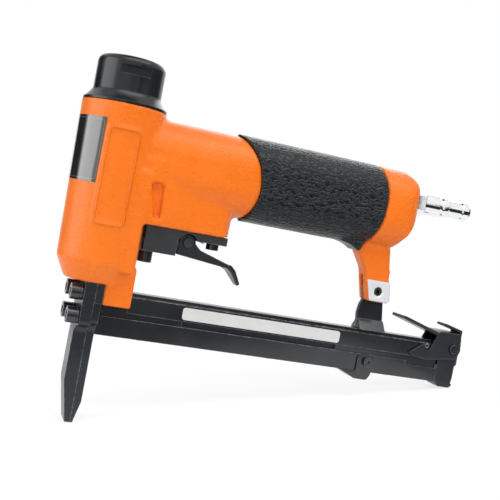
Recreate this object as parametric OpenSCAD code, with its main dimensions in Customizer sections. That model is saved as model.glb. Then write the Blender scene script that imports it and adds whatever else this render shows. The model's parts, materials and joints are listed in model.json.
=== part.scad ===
// Pneumatic upholstery stapler with a long nose
// Frame: +Z up along the drive axis, +X toward the rear of the handle, origin at the tip of the nose
// Lengths are in millimetres

/* [Nose] */
// Length of the narrow nose, from its tip to the underside of the magazine
nose_l = 47.3; // [40:0.1:60]
// Width of the narrow nose
nose_w = 14.4; // [13:0.1:18]
// Depth of the front nose plate on the narrow nose
nose_front_d = 6.9; // [6.4:0.1:10]
// Depth of the rear nose plate
nose_rear_d = 4; // [3:0.1:6]
// Height of the sloped front of the tip
tip_slope_h = 22; // [12:0.5:30]
// Height of the sloped rear of the tip
tip_heel_h = 11.3; // [6:0.1:16]
// Depth of the tip's end face on each side of the drive channel
tip_d = 1.5; // [1:0.1:3]
// Width of the bolted upper part of the nose plates
plate_w = 29; // [27:0.1:34]
// Thickness of the bolted upper part of the front plate
plate_t = 5.95; // [5:0.05:7]
// Radius of the concave neck below the bolted part
neck_r = 4.3; // [3:0.1:6]
// Corner radius of the bolted part
plate_corner_r = 3; // [2:0.1:4]
// Distance between the nose screws across the tool
screw_pitch_y = 18; // [17:0.1:19]
// Distance between the nose screws along the tool
screw_pitch_z = 12.3; // [11:0.1:13]
// Thread diameter of the nose screws
screw_d = 5; // [4:0.5:5]
// Head diameter of the nose screws
screw_head_d = 8.5; // [7:0.1:8.8]
// Head height of the nose screws
screw_head_h = 5; // [4:0.1:6]
// Thickness of the spring washers
washer_t = 1.4; // [1:0.1:2]

/* [Driver] */
// Thickness of the driver blade
blade_t = 1.1; // [0.8:0.05:1.4]
// Width of the driver blade, the crown of a staple
blade_w = 9; // [8.5:0.05:9.2]
// Bore of the cylinder liner
bore_d = 26; // [24:0.1:27]
// Wall of the cylinder liner
liner_wall = 2; // [1.5:0.1:2.4]
// Height of the piston
piston_h = 10; // [8:0.1:11]
// Height of the bumper
bumper_h = 7.7; // [5:0.1:8]
// Hole through the bumper
bumper_hole_d = 10.4; // [9.6:0.1:14]
// Cross section of the O-rings on the piston and the valve
ring_d = 2.4; // [1.6:0.1:2.8]

/* [Body] */
// Radius of the body at its top
body_r = 22.2; // [21.4:0.1:26]
// Radius of the body above its bottom chamfer
body_low_r = 20.8; // [20.2:0.1:23]
// Radius of the body's bottom face
body_foot_r = 15.4; // [15:0.1:18]
// Height of the bottom chamfer
body_chamfer_h = 10.7; // [9:0.1:12]
// Height of the body
body_h = 92.4; // [92.4:0.1:100]
// Radius of the air chamber round the liner
chamber_r = 18.4; // [17.8:0.1:18.8]
// Depth of the block behind the nose plates
block_d = 15.3; // [14:0.1:15.3]
// Width of the block behind the nose plates
block_w = 26; // [24:0.1:28]
// Height that the nose block reaches below the body
block_drop = 10.9; // [9:0.1:11]
// Width of the raised ribs on the sides of the body
rib_w = 7.8; // [5:0.1:9]
// Distance of the ribs behind the drive axis
rib_x = 13.4; // [11:0.1:14]
// Distance of the ribs' faces from the middle of the tool
rib_y = 19.2; // [18.6:0.1:20]
// Height of the ribs
rib_h = 50; // [40:0.5:56]
// Width of the raised panel frame
frame_w = 17; // [12:0.1:18]
// Height of the raised panel frame
frame_h = 50.4; // [30:0.1:54]
// Width of the line that the panel frame draws
frame_line = 1.6; // [1:0.1:3]
// Height that the panel frame stands off the body
frame_lift = 0.7; // [0.4:0.1:1.2]

/* [Head cap] */
// Height of the cap above the body
cap_h = 24.6; // [24.6:0.1:32]
// Radius of the cap above its flare
cap_r = 17.8; // [17.4:0.1:19]
// Height of the cap's flange
cap_flange_h = 1.2; // [1.2:0.1:4]
// Height of the hollow flare above the flange
cap_flare_h = 5.6; // [4:0.1:7]
// Radius of the cap's top edge
cap_edge_r = 4; // [2:0.1:5]
// Length of the threaded spigot inside the body
spigot_l = 10; // [8:0.1:12]
// Height of the spanner flats
flat_h = 4.2; // [3:0.1:5]
// Width of the spanner flats
flat_w = 19; // [14:0.1:20]
// Height of the head valve
head_valve_h = 12; // [9:0.1:12]
// Lift of the head valve
head_valve_lift = 3; // [2:0.1:4]

/* [Handle] */
// Width of the handle
handle_w = 37; // [34:0.1:40]
// Height of the handle
handle_h = 46.4; // [43:0.1:48]
// Drop of the handle's top below the top of the body
handle_drop = 1; // [0.5:0.1:6]
// Thickness of the grip sleeve
grip_t = 3; // [2:0.1:4]
// Step from the grip down to the handle's front collar
collar_step = 1.2; // [0:0.1:1.5]
// Place of the grip's front edge on the side of the handle
grip_x0 = 76.7; // [72:0.1:84]
// Place of the grip's rear edge on the side of the handle
grip_x1 = 152; // [148:0.1:153]
// Radius of the grip's curved front edge
grip_front_r = 38; // [30:0.5:46]
// Radius of the grip's curved rear edge
grip_rear_r = 65; // [60:0.5:75]
// Radius of the concave flare under the rear of the grip
flare_r = 18; // [15:0.1:18.5]
// Place of the rearmost point of the handle
head_x1 = 176.6; // [176:0.1:182]
// Radius of the handle's rounded rear end
head_r = 30; // [28:0.1:31]
// Radius of the rear head's corners seen from above
head_corner_r = 14; // [8:0.1:16]
// Radius of the air reservoir inside the handle
reservoir_r = 13; // [11:0.1:13.5]

/* [Rear leg] */
// Width of the leg that carries the rear of the magazine
leg_w = 12; // [11:0.1:16]
// Radius of the leg's front and rear edges
leg_edge_r = 3; // [1:0.1:4]
// Length of the leg's foot along the tool
leg_foot_l = 14.8; // [14:0.1:16]
// Place of the leg's foot, at its front edge
leg_foot_x = 156.6; // [155:0.1:157]
// Height of the machined lug at the bottom of the leg
lug_h = 12.2; // [11:0.1:13]
// Height that the machined lug stands off the leg
lug_lift = 0.4; // [0.2:0.1:0.8]
// Diameter of the bolt through the lug
leg_bolt_d = 5; // [4:0.1:5.4]
// Gap between the leg and the magazine
leg_gap = 17; // [16:0.1:20]
// Thickness of the bracket's tongue
tongue_t = 2.6; // [2:0.1:4]

/* [Trigger] */
// Length of the trigger block under the handle
trigger_block_l = 44.5; // [44:0.1:48]
// Width of the trigger block at its front
trigger_block_w0 = 36; // [30:0.1:37]
// Width of the trigger block at its rear
trigger_block_w1 = 23; // [21:0.1:28]
// Depth of the trigger block below the handle
trigger_block_h = 10.6; // [9:0.1:12]
// Width of the trigger bracket
bracket_w = 19; // [18:0.1:20]
// Thickness of the trigger bracket's plate
bracket_t = 4.4; // [4:0.1:4.4]
// Depth of the trigger bracket's front block
bracket_block_h = 14; // [12:0.1:15]
// Place of the trigger pin behind the drive axis
trigger_x = 44.8; // [44:0.1:45]
// Diameter of the trigger pin
trigger_pin_d = 4; // [3:0.1:4.4]
// Diameter of the trigger's hub
trigger_hub_d = 9.2; // [8:0.1:9.4]
// Width of the trigger
trigger_w = 17; // [16:0.1:18]
// Thickness of the trigger's finger blade
trigger_t = 2.2; // [1.6:0.1:2.6]
// Place of the valve stem behind the drive axis
valve_x = 61; // [60.6:0.1:61]
// Diameter of the valve stem's button
button_d = 7; // [6:0.1:7.4]
// Diameter of the valve stem
stem_d = 4; // [3:0.1:4.4]
// Diameter of the valve bushing
bushing_d = 11.6; // [11:0.1:12]
// Wall round the valve bushing
valve_wall = 1.6; // [1.2:0.1:2]

/* [Magazine] */
// Width of the magazine
mag_w = 13; // [13:0.1:15]
// Place of the magazine's rear end
mag_x1 = 210.5; // [208:0.1:212]
// Height of the sliding lower channel
lower_h = 10.2; // [9:0.1:11]
// Height of the gap between the two channels
channel_gap = 3.2; // [2.4:0.1:4]
// Height of the fixed upper channel's sides
upper_h = 8.7; // [8.4:0.1:10]
// Height of the spine on the fixed channel
spine_h = 2; // [1.6:0.1:3]
// Width of the spine on the fixed channel
spine_w = 8; // [7.6:0.1:9]
// Wall of the sliding channel
lower_wall = 1; // [0.8:0.05:1.1]
// Floor of the sliding channel
lower_floor = 1.4; // [1:0.1:1.6]
// Thickness of the fixed channel's skirts
skirt_t = 0.7; // [0.5:0.05:0.75]
// Width of the core that staples ride on
core_w = 7.4; // [7:0.05:7.6]
// Longest staple leg that fits
staple_l = 16; // [14:0.1:16]
// Place of the front end of the staple window
window_x0 = 50.8; // [40:0.1:70]
// Length of the staple window
window_l = 92; // [60:0.5:110]
// Length of the pusher
pusher_l = 14; // [10:0.1:14.5]
// Diameter of the pusher's guide rod
rod_d = 3; // [2:0.1:3.2]
// Diameter of the wire in the pusher spring
pusher_wire_d = 0.6; // [0.5:0.05:0.7]
// Number of curls in the pusher spring
pusher_curls = 24; // [16:1:28]

/* [Latch] */
// Place of the latch pin
latch_x = 217.8; // [217:0.1:218.4]
// Diameter of the latch pin
latch_pin_d = 4; // [3:0.1:4.4]
// Thickness of the latch plates
latch_t = 1.5; // [1:0.1:2]
// Length of the end cap
end_cap_l = 12; // [12:0.1:14]
// Angle of the thumb plate
thumb_tilt = 15.5; // [10:0.5:16]
// Length of the thumb plate
thumb_l = 27; // [24:0.5:34]
// Diameter of the catch pin
catch_d = 2.7; // [2:0.1:2.8]
// Place of the pull clip's front edge
clip_x = 157.2; // [140:0.1:170]
// Length of the pull clip's sides
clip_l = 10; // [9:0.1:14]
// Thickness of the pull clip
clip_t = 1.4; // [1:0.1:1.8]

/* [Air plug] */
// Size of the air plug's hexagon across its flats
hex_af = 14; // [13:0.1:17]
// Length of the hexagon
hex_l = 7; // [6:0.1:9]
// Height of the air plug above the middle of the handle
plug_rise = 7.2; // [5:0.1:8]
// Diameter of the air plug's barrel
barrel_d = 12.8; // [12:0.1:14]
// Diameter of the air plug's tip
tip_dia = 11; // [10:0.1:12]
// Bore of the air plug
plug_bore_d = 6; // [4:0.1:7]
// Length of the air plug's thread
thread_l = 10; // [8:0.1:12]
// Diameter of the air plug's thread
thread_d = 12.6; // [11:0.1:13]

/* [Clearances] */
// Running clearance of pins and rods in their bores, per side
run = 0.05; // [0.02:0.01:0.08]
// Clearance between fixed faces, per side
seat = 0.05; // [0.02:0.01:0.08]
// Clearance between sliding sheet pieces, per side
slide = 0.12; // [0.1:0.01:0.16]
// Clearance between moving pieces that pass each other
clear = 0.35; // [0.3:0.01:0.4]

/* [Hidden] */
$fn = 64;
far = 400;

// Drive channel and nose plates along X
split_x = blade_t / 2 + slide;
nose_x0 = split_x - nose_front_d;
plate_x0 = split_x - plate_t;
rear_x1 = split_x + nose_rear_d;
block_x1 = rear_x1 + block_d;

// Magazine levels
lower_z1 = nose_l + lower_h;
upper_z0 = lower_z1 + channel_gap;
upper_z1 = upper_z0 + upper_h;
mag_top = upper_z1 + spine_h;
floor_z = nose_l + lower_floor;
skirt_out = mag_w / 2 - lower_wall - slide;
skirt_in = skirt_out - skirt_t;
skirt_z0 = floor_z + 1.3;
core_z1 = floor_z + staple_l - 0.7;
roof_z = upper_z1 - 1.1;
spine_in = spine_w / 2 - 1.1;
spine_roof_z = mag_top - 1.1;

// Body levels
body_z0 = mag_top + 3.2;
body_z1 = body_z0 + body_h;
block_z0 = body_z0 - block_drop;
neck_z = nose_l;
plate_z0 = neck_z + neck_r;
screw_z0 = plate_z0 + 4.6;
bumper_z0 = body_z0 + 3.4;
bumper_z1 = bumper_z0 + bumper_h;
liner_z0 = bumper_z1 + 0.3;
piston_low = bumper_z1 + clear;
liner_drop = 4.15;
liner_z1 = body_z1 - liner_drop;
piston_z0 = liner_z1 - 0.8 - piston_h;
stroke = piston_z0 - piston_low;
liner_r = bore_d / 2 + liner_wall;
liner_seat_z1 = liner_z0 + 9;
liner_seal_z = liner_z0 + 4.5;
liner_ring_d = 1;
blade_z0 = 0.6 + stroke;
piston_r = bore_d / 2 - run;
bumper_r = liner_r - 0.5;

// Radius of the drafted body at a height
function body_r_at(z) = body_low_r
  + (body_r - body_low_r) * (z - body_z0 - body_chamfer_h) / (body_h - body_chamfer_h);

// Head cap levels
valve_r = liner_r + 0.35;
valve_z0 = liner_z1 + 0.2;
valve_z1 = valve_z0 + head_valve_h;
valve_roof = valve_z1 + head_valve_lift + 4;
cap_z1 = body_z1 + cap_h;
flat_z0 = cap_z1 - cap_edge_r - 1.3 - flat_h;
spring_floor = valve_z0 + 5;
spring_pocket_r = 8.4;
head_coil_r = 6.4;
head_coil_h = valve_roof - spring_floor - 2 * clear;
head_curls = 4;
head_wire = 1;

// Labels
label_t = 0.25;
label_glue = 0.02;
wrap_drop = 42;
wrap_h = 33;
wrap_x = -10.8;

// Handle section
handle_z = body_z1 - handle_drop - handle_h / 2;
handle_r = handle_w / 2;
handle_low = handle_z - handle_h / 2;
grip_front_z = handle_z - 5.8;
grip_rear_z = handle_z + 1.2;
head_cx = head_x1 - head_r;
head_cz = handle_z + 1.2;
plug_z = handle_z + plug_rise;
cover_tilt = 30.7;
cover_dist = head_r - 2.7;
cover_r = 10.5;
cover_t = 1.5;
cover_screw_d = 3;

// Rear leg levels
leg_z0 = mag_top + leg_gap;
lug_z1 = leg_z0 + lug_h;
leg_bolt_x = leg_foot_x + 6.2;
leg_bolt_z = leg_z0 + 6.1;
leg_x1 = leg_foot_x + leg_foot_l;

// Trigger levels
trigger_block_x0 = 19.7;
trigger_block_x1 = trigger_block_x0 + trigger_block_l;
bracket_z1 = handle_low - trigger_block_h;
bracket_z0 = bracket_z1 - bracket_t;
bracket_low = bracket_z1 - bracket_block_h;
bracket_x0 = body_r_at(bracket_z1) + 0.15;
bracket_x1 = trigger_block_x1 + 2;
bracket_screw_x = bracket_x0 + 3.8;
bracket_block_x1 = trigger_x - 5.8;
trigger_z = bracket_z1 - 6;
rib_out = 3;
rib_in = 1.8;
torsion_r = 3.1;
torsion_wire = 0.5;
torsion_pitch = 1;
torsion_curls = 2.5;
torsion_leg_up = [11, 0.8];
torsion_leg_down = [11, -5.4];
button_z0 = bracket_z1 - 7.9;
button_h = 3.2;
stem_lift = 2.2;
bushing_z1 = bracket_z1 + 17;
bushing_floor = bracket_z0 + 5;
collar_z = bushing_floor + 2;
collar_h = 2;
cavity_r = bushing_d / 2 - 1.4;
cavity_z1 = bushing_z1 - 2.5;
valve_seal_z = [bracket_z1 + 4, bracket_z1 + 12];
valve_ring_d = 0.66;
stem_coil_r = (cavity_r + stem_d / 2) / 2;
stem_coil_h = cavity_z1 - collar_z - collar_h - 2 * clear;
stem_curls = 4;
stem_wire = 0.6;

// Pusher, rod and spring
pusher_x0 = rear_x1 + clear;
pusher_x1 = pusher_x0 + pusher_l;
rod_z = core_z1 + 3.3;
plug_x0 = mag_x1 - 14.5;
plug_l = 10;
coil_r = 2.1;
pusher_spring_l = plug_x0 - pusher_x1 - 2 * clear;
rivet_d = 3;
rivet_x = [30, 105, 180];

// Latch
latch_z = nose_l + 21.1;
latch_in = mag_w / 2 + clear;
latch_out = latch_in + latch_t;
latch_top = latch_z + 8;
catch_x = mag_x1 - 9.3;
catch_z = latch_z - 0.6;
end_cap_x0 = mag_x1;
end_cap_x1 = mag_x1 + end_cap_l;
end_cap_z1 = latch_z + 2.6;
latch_bridge_z = latch_top - 0.5;
latch_coil_r = 2.2;
latch_coil_h = latch_bridge_z - end_cap_z1 - 2 * clear;
latch_curls = 3;
latch_wire = 0.6;
clip_screw_x = clip_x + 6;
clip_screw_z = nose_l + 6.2;
clip_screw_d = 3;

// Draws a shape given in Y and Z, from x0 to x1
module along_x(x0, x1) {
  translate([x0, 0, 0]) rotate([90, 0, 90]) linear_extrude(x1 - x0) children();
}

// Draws a shape given in X and Z, from y0 to y1
module along_y(y0, y1) {
  translate([0, y1, 0]) rotate([90, 0, 0]) linear_extrude(y1 - y0) children();
}

// Round bar along X, Y or Z
module bar_x(x0, x1, r) {
  translate([x0, 0, 0]) rotate([0, 90, 0]) cylinder(h = x1 - x0, r = r);
}

module bar_y(y0, y1, r) {
  translate([0, y1, 0]) rotate([90, 0, 0]) cylinder(h = y1 - y0, r = r);
}

module bar_z(z0, z1, r) {
  translate([0, 0, z0]) cylinder(h = z1 - z0, r = r);
}

// Box between two corners
module box(a, b) {
  translate(a) cube(b - a);
}

// Ring of round section about Z
module o_ring(r, d) {
  rotate_extrude() translate([r, 0]) circle(d = d, $fn = 24);
}

// Rounded rectangle about the origin
module rounded(w, h, r) {
  square([w - 2 * r, h], center = true);
  square([w, h - 2 * r], center = true);
  for (x = [-1, 1], y = [-1, 1]) translate([x * (w / 2 - r), y * (h / 2 - r)]) circle(r);
}

// Handle section with round top and bottom, in Y and Z
module stadium(inset) {
  r = handle_r - inset;
  s = handle_h / 2 - handle_r;
  translate([-r, handle_z - s]) square([2 * r, 2 * s]);
  for (k = [-1, 1]) translate([0, handle_z + k * s]) circle(r);
}

// Tube swept along points, with rings of six sides
TUBE_SIDES = 6;
CURL_RINGS = 8;
function unit(v) = v / norm(v);
function tangent(p, i) = unit(p[min(i + 1, len(p) - 1)] - p[max(i - 1, 0)]);
function tube_points(p, r, up) = [for (i = [0:len(p) - 1], k = [0:TUBE_SIDES - 1])
  let (t = tangent(p, i), u = unit(up - (up * t) * t), v = cross(t, u), a = 360 * k / TUBE_SIDES)
  p[i] + r * (cos(a) * u + sin(a) * v)];
function tube_faces(n) = concat(
  [for (k = [1:TUBE_SIDES - 2]) [0, k, k + 1]],
  [for (i = [0:n - 2], k = [0:TUBE_SIDES - 1])
    let (a = i * TUBE_SIDES + k, b = i * TUBE_SIDES + (k + 1) % TUBE_SIDES)
    [a, a + TUBE_SIDES, b]],
  [for (i = [0:n - 2], k = [0:TUBE_SIDES - 1])
    let (a = i * TUBE_SIDES + k, b = i * TUBE_SIDES + (k + 1) % TUBE_SIDES)
    [b, a + TUBE_SIDES, b + TUBE_SIDES]],
  [for (k = [1:TUBE_SIDES - 2]) let (e = (n - 1) * TUBE_SIDES) [e, e + k + 1, e + k]]);

module tube(p, r, up) {
  polyhedron(tube_points(p, r, up), tube_faces(len(p)), convexity = 8);
}

// Points of a helix about Z
function helix(r, h, curls) = [for (i = [0:curls * CURL_RINGS])
  let (s = i / CURL_RINGS) [r * cos(360 * s), r * sin(360 * s), h * s / curls]];

// Least gap of a wire to itself, measured on points at least half a curl apart
function least_gap(p, wire) = min([for (i = [0:len(p) - 1], k = [i + CURL_RINGS / 2:1:len(p) - 1])
  norm(p[i] - p[k])]) - wire;

function coil_gap(r, h, curls, wire) = least_gap(helix(r, h - wire, curls), wire);

// Compression spring about Z that fills the height h: mean radius, curls and wire
module coil(r, h, curls, wire) {
  translate([0, 0, wire / 2]) tube(helix(r, h - wire, curls), wire / 2, [0, 0, 1]);
}

echo(trigger_spring_gap = least_gap(torsion_path(), torsion_wire));
echo(pusher_spring_gap = coil_gap(coil_r, pusher_spring_l, pusher_curls, pusher_wire_d));
echo(latch_spring_gap = coil_gap(latch_coil_r, latch_coil_h, latch_curls, latch_wire));
echo(valve_spring_gap = coil_gap(stem_coil_r, stem_coil_h, stem_curls, stem_wire));
echo(head_spring_gap = coil_gap(head_coil_r, head_coil_h, head_curls, head_wire));

// Outline of the nose plates in Y and Z, with the given half width of the bolted part
module nose_outline(half, z0) {
  translate([-nose_w / 2, 0]) square([nose_w, body_z0]);
  translate([-half, z0 + plate_corner_r]) square([2 * half, body_z0 - z0 - plate_corner_r]);
  translate([plate_corner_r - half, z0]) square([2 * (half - plate_corner_r), body_z0 - z0]);
  for (k = [-1, 1]) {
    translate([k * (half - plate_corner_r), z0 + plate_corner_r]) circle(plate_corner_r);
    difference() {
      translate([k * (nose_w / 2 + neck_r / 2), z0 - neck_r / 2]) square(neck_r, center = true);
      translate([k * (nose_w / 2 + neck_r), z0 - neck_r]) circle(neck_r);
    }
  }
}

// Places of the four nose screws
module at_nose_screws() {
  for (y = [-1, 1], z = [0, 1])
    translate([0, y * screw_pitch_y / 2, screw_z0 + z * screw_pitch_z]) children();
}

module body_casting() {
  color("#ff7a1f") difference() {
    union() {
      cylinder_shell();
      handle_shell();
      trigger_block();
      rear_leg();
      box([rear_x1, -block_w / 2, block_z0], [block_x1, block_w / 2, body_z0 + body_chamfer_h]);
      body_details();
    }
    body_bores();
  }
}

// Drafted cylinder with its bottom chamfer
module cylinder_shell() {
  z = body_z0 + body_chamfer_h;
  translate([0, 0, body_z0]) cylinder(h = body_chamfer_h, r1 = body_foot_r, r2 = body_low_r);
  translate([0, 0, z]) cylinder(h = body_z1 - z, r1 = body_low_r, r2 = body_r);
}

// Space in front of the grip's curved front edge
module grip_front_zone(gap) {
  r = grip_front_r - gap;
  along_y(-far, far) {
    translate([grip_x0 - grip_front_r, grip_front_z]) circle(r, $fn = 96);
    translate([-far, grip_front_z - far]) square([far + grip_x0 - grip_front_r, 2 * far]);
  }
}

// Space in front of the grip's curved rear edge
module grip_rear_zone(gap) {
  r = grip_rear_r + gap;
  along_y(-far, far) {
    translate([grip_x1 - grip_rear_r, grip_rear_z]) circle(r, $fn = 96);
    translate([-far, grip_rear_z - far]) square([far + grip_x1 - grip_rear_r, 2 * far]);
  }
}

// Handle tube: flush collar in front, thinner core under the grip, rounded head behind
module handle_shell() {
  intersection() {
    along_x(0, grip_x0 + 1) stadium(collar_step);
    grip_front_zone(0);
  }
  along_x(0, grip_x1 + 5) stadium(grip_t);
  difference() {
    intersection() {
      along_x(grip_x1 - 20, head_x1 + 1) stadium(0);
      translate([head_cx, 0, head_cz]) bar_y(-far, far, head_r);
      translate([head_x1 - handle_h, 0, 0]) linear_extrude(far)
        rounded(2 * handle_h, handle_w, head_corner_r);
    }
    grip_rear_zone(0);
    cover_place() translate([-far, -far, cover_dist]) cube(2 * far);
  }
}

// Turns +Z to the rear cover's outward direction
module cover_place() {
  translate([head_cx, 0, head_cz]) rotate([0, 90 + cover_tilt, 0]) children();
}

// Tapered block under the handle that holds the trigger valve
module trigger_block() {
  translate([0, 0, bracket_z1]) linear_extrude(handle_z - bracket_z1) polygon([
    [0, -trigger_block_w0 / 2], [trigger_block_x0, -trigger_block_w0 / 2],
    [trigger_block_x1, -trigger_block_w1 / 2], [trigger_block_x1, trigger_block_w1 / 2],
    [trigger_block_x0, trigger_block_w0 / 2], [0, trigger_block_w0 / 2]]);
  // Boss that closes the valve's bore behind the block
  translate([valve_x, 0, 0]) bar_z(bracket_z1, handle_z, bushing_d / 2 + valve_wall);
}

// Straight length of the leg with rounded edges, leaning forward from its foot at the front x
module leg_length(x, lean, l, z0, z1) {
  translate([x, 0, z0]) rotate([0, -lean, 0]) translate([0, 0, -10])
    linear_extrude(z1 - z0 + 10) translate([l / 2, 0]) rounded(l, leg_w, leg_edge_r);
}

// Leg that widens toward the handle, with its slot for the bracket and machined lug
module rear_leg() {
  knee_z = lug_z1 + 6;
  lean = 15;
  difference() {
    union() {
      leg_length(leg_foot_x, lean, leg_foot_l * 0.85, leg_z0, handle_z - 16);
      leg_length(leg_foot_x + 4, 9, leg_foot_l - 4, leg_z0, handle_z - 8);
      leg_length(leg_foot_x - (knee_z - leg_z0) * tan(lean), 34, leg_foot_l, knee_z, handle_z - 12);
      along_y(-leg_w / 2 - lug_lift, leg_w / 2 + lug_lift)
        polygon([[leg_foot_x + 2.8, leg_z0], [leg_x1 - 2, leg_z0], [leg_x1, leg_z0 + 2],
          [leg_x1 - 1.9, lug_z1], [leg_foot_x - 1, lug_z1 - 0.4]]);
    }
    translate([-far, -far, leg_z0 - far]) cube([2 * far, 2 * far, far]);
    grip_rear_zone(0);
    cover_place() bar_z(cover_dist, cover_dist + 6, cover_r + 0.4);
    box([leg_foot_x - far, -tongue_t / 2, leg_z0 - 1], [leg_x1 + 1, tongue_t / 2, lug_z1 + 3]);
    translate([leg_bolt_x, 0, leg_bolt_z]) bar_y(-leg_w, leg_w, leg_bolt_d / 2 + seat);
  }
}

// Ribs and panel frames on the sides of the cylinder
module body_details() {
  for (k = [-1, 1]) {
    z0 = body_z0 + 7.4;
    box([rib_x - rib_w / 2, min(0, k * rib_y), z0], [rib_x + rib_w / 2, max(0, k * rib_y), z0 + rib_h]);
    translate([rib_x, k * rib_y / 2, z0 + rib_h]) bar_y(-rib_y / 2, rib_y / 2, rib_w / 2);
  }
  intersection() {
    z = body_z0 + body_chamfer_h;
    translate([0, 0, z]) cylinder(h = body_z1 - z, r1 = body_low_r + frame_lift, r2 = body_r + frame_lift);
    along_y(-far, far) translate([-1, body_z1 - 12 - frame_h / 2]) difference() {
      rounded(frame_w, frame_h, 3);
      rounded(frame_w - 2 * frame_line, frame_h - 2 * frame_line, 1.6);
    }
  }
}

// Air ways, bores and screw holes of the casting
module body_bores() {
  // Bumper seat, liner chamber and cap bore
  bar_z(bumper_z0, body_z1 + 1, bumper_r + seat);
  bar_z(liner_z0, body_z1 + 1, liner_r + seat);
  bar_z(liner_seat_z1, body_z1 + 1, chamber_r);
  // Driver slot through the floor
  box([-split_x, -blade_w / 2 - slide, body_z0 - 1], [split_x, blade_w / 2 + slide, bumper_z0 + 1]);
  // Reservoir and air inlet
  translate([0, 0, handle_z]) bar_x(chamber_r - 3, head_x1 - 14, reservoir_r);
  translate([0, 0, plug_z]) bar_x(head_x1 - 16, head_x1 + 5, thread_d / 2 + seat);
  translate([0, 0, plug_z]) bar_x(head_x1 - 1.6, head_x1 + 5, hex_af * 0.64);
  // Trigger valve
  translate([valve_x, 0, 0]) bar_z(bracket_z1 - 1, bushing_z1 + seat, bushing_d / 2 + seat);
  translate([valve_x, 0, 0]) bar_z(bushing_z1, handle_z, cavity_r);
  translate([bracket_screw_x, 0, 0]) bar_z(bracket_z1 - 1, bracket_z1 + 11, screw_d / 2 + seat);
  // Space for the pusher behind the nose
  box([rear_x1 - 1, -skirt_in, block_z0 - 1], [block_x1 + 1, skirt_in, spine_roof_z]);
  // Upper nose screws
  for (y = [-1, 1]) translate([0, y * screw_pitch_y / 2, screw_z0 + screw_pitch_z])
    bar_x(rear_x1 - 1, block_x1 - 3, screw_d / 2 + seat);
  // Side pockets behind the ribs
  for (k = [-1, 1]) translate([0, k * (rib_y - 0.5), 0])
    along_y(-4, 4) polygon([[rib_x + rib_w / 2 + 5, handle_low - 7],
      [rib_x + rib_w / 2 + 8.4, handle_low - 7], [rib_x + rib_w / 2 + 7.9, handle_low + 11.4],
      [rib_x + rib_w / 2 + 0.6, handle_low + 11.4]]);
  // Rear cover screw
  cover_place() bar_z(cover_dist - 4, cover_dist + 1, cover_screw_d / 2 + seat);
}

// Cap profile in radius and height, screwed into the top of the body
module cap_profile() {
  flare = body_r - 0.2 - cap_r;
  flare_z = body_z1 + cap_flange_h;
  curve = [[1, 0], [0.86, 0.1], [0.56, 0.34], [0.28, 0.6], [0.08, 0.84], [0, 1]];
  difference() {
    union() {
      polygon(concat([[0, cap_z1 - cap_edge_r], [0, body_z1], [body_r - 0.2, body_z1]],
        [for (c = curve) [cap_r + flare * c[0], flare_z + cap_flare_h * c[1]]],
        [[cap_r, cap_z1 - cap_edge_r]]));
      translate([0, flare_z]) square([cap_r - cap_edge_r, cap_z1 - flare_z]);
      translate([cap_r - cap_edge_r, cap_z1 - cap_edge_r]) circle(cap_edge_r);
      translate([0, body_z1 - spigot_l]) square([chamber_r - seat, spigot_l]);
    }
    translate([-1, body_z1 - spigot_l - 1]) square([valve_r + run + 1, valve_roof - body_z1 + spigot_l + 1]);
    translate([-far, -far]) square([far, 3 * far]);
  }
}

module head_cap() {
  color("#15161a") difference() {
    rotate_extrude($fn = 96) cap_profile();
    for (k = [-1, 1]) translate([0, k * (cap_r + 8.1), flat_z0 + flat_h / 2])
      cube([flat_w, 20, flat_h], center = true);
    // Flutes that let air from the chamber to the underside of the valve
    for (a = [30:60:330]) rotate(a) translate([valve_r + 0.4, 0, 0])
      bar_z(body_z1 - spigot_l - 1, body_z1 - 1.5, 1.3);
    // Groove of the cap seal
    translate([0, 0, body_z1]) rotate_extrude()
      translate([body_r - 2.4, 0]) square([1.6, 1.6], center = true);
  }
}

module cap_seal() {
  color("#1c1c1c") translate([0, 0, body_z1 + 0.38]) o_ring(body_r - 2.4, 0.7);
}

module cylinder_liner() {
  color("#c9cdd2") difference() {
    bar_z(liner_z0, liner_z1, liner_r);
    bar_z(liner_z0 - 1, liner_z1 + 1, bore_d / 2);
    for (a = [0:45:315]) rotate([0, 0, a]) translate([0, 0, liner_seat_z1 + 3]) bar_x(0, far, 1.2);
    translate([0, 0, liner_seal_z]) rotate_extrude()
      translate([liner_r, 0]) square([2 * (liner_ring_d + seat), 1.7], center = true);
  }
}

module liner_seal() {
  color("#1c1c1c") translate([0, 0, liner_seal_z]) o_ring(liner_r - liner_ring_d / 2, liner_ring_d);
}

module bumper() {
  color("#2b2b2b") difference() {
    bar_z(bumper_z0, bumper_z1, bumper_r);
    bar_z(bumper_z0 - 1, bumper_z1 + 1, bumper_hole_d / 2);
  }
}

module piston() {
  groove_r = piston_r - ring_d - 0.02;
  z = piston_z0 + piston_h / 2;
  color("#b9bec5") difference() {
    bar_z(piston_z0, piston_z0 + piston_h, piston_r);
    translate([0, 0, z]) rotate_extrude() translate([groove_r, -ring_d / 2 - 0.1])
      square([ring_d + 2, ring_d + 0.2]);
    box([-blade_t / 2 - seat, -blade_w / 2 - seat, piston_z0 - 1],
      [blade_t / 2 + seat, blade_w / 2 + seat, piston_z0 + piston_h - 1.5]);
    translate([0, 0, piston_z0 + 1.9]) bar_x(-far, far, 1 + seat);
  }
}

module piston_seal() {
  color("#1c1c1c") translate([0, 0, piston_z0 + piston_h / 2])
    o_ring(piston_r - ring_d / 2 + 0.02, ring_d);
}

module driver_blade() {
  color("#9aa0a8") difference() {
    box([-blade_t / 2, -blade_w / 2, blade_z0], [blade_t / 2, blade_w / 2, piston_z0 + piston_h - 1.6]);
    translate([0, 0, piston_z0 + 1.9]) bar_x(-far, far, 1 + seat);
  }
}

module driver_pin() {
  r = piston_r - 1.2;
  color("#8d939b") translate([0, 0, piston_z0 + 1.9]) bar_x(-r, r, 1);
}

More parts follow.
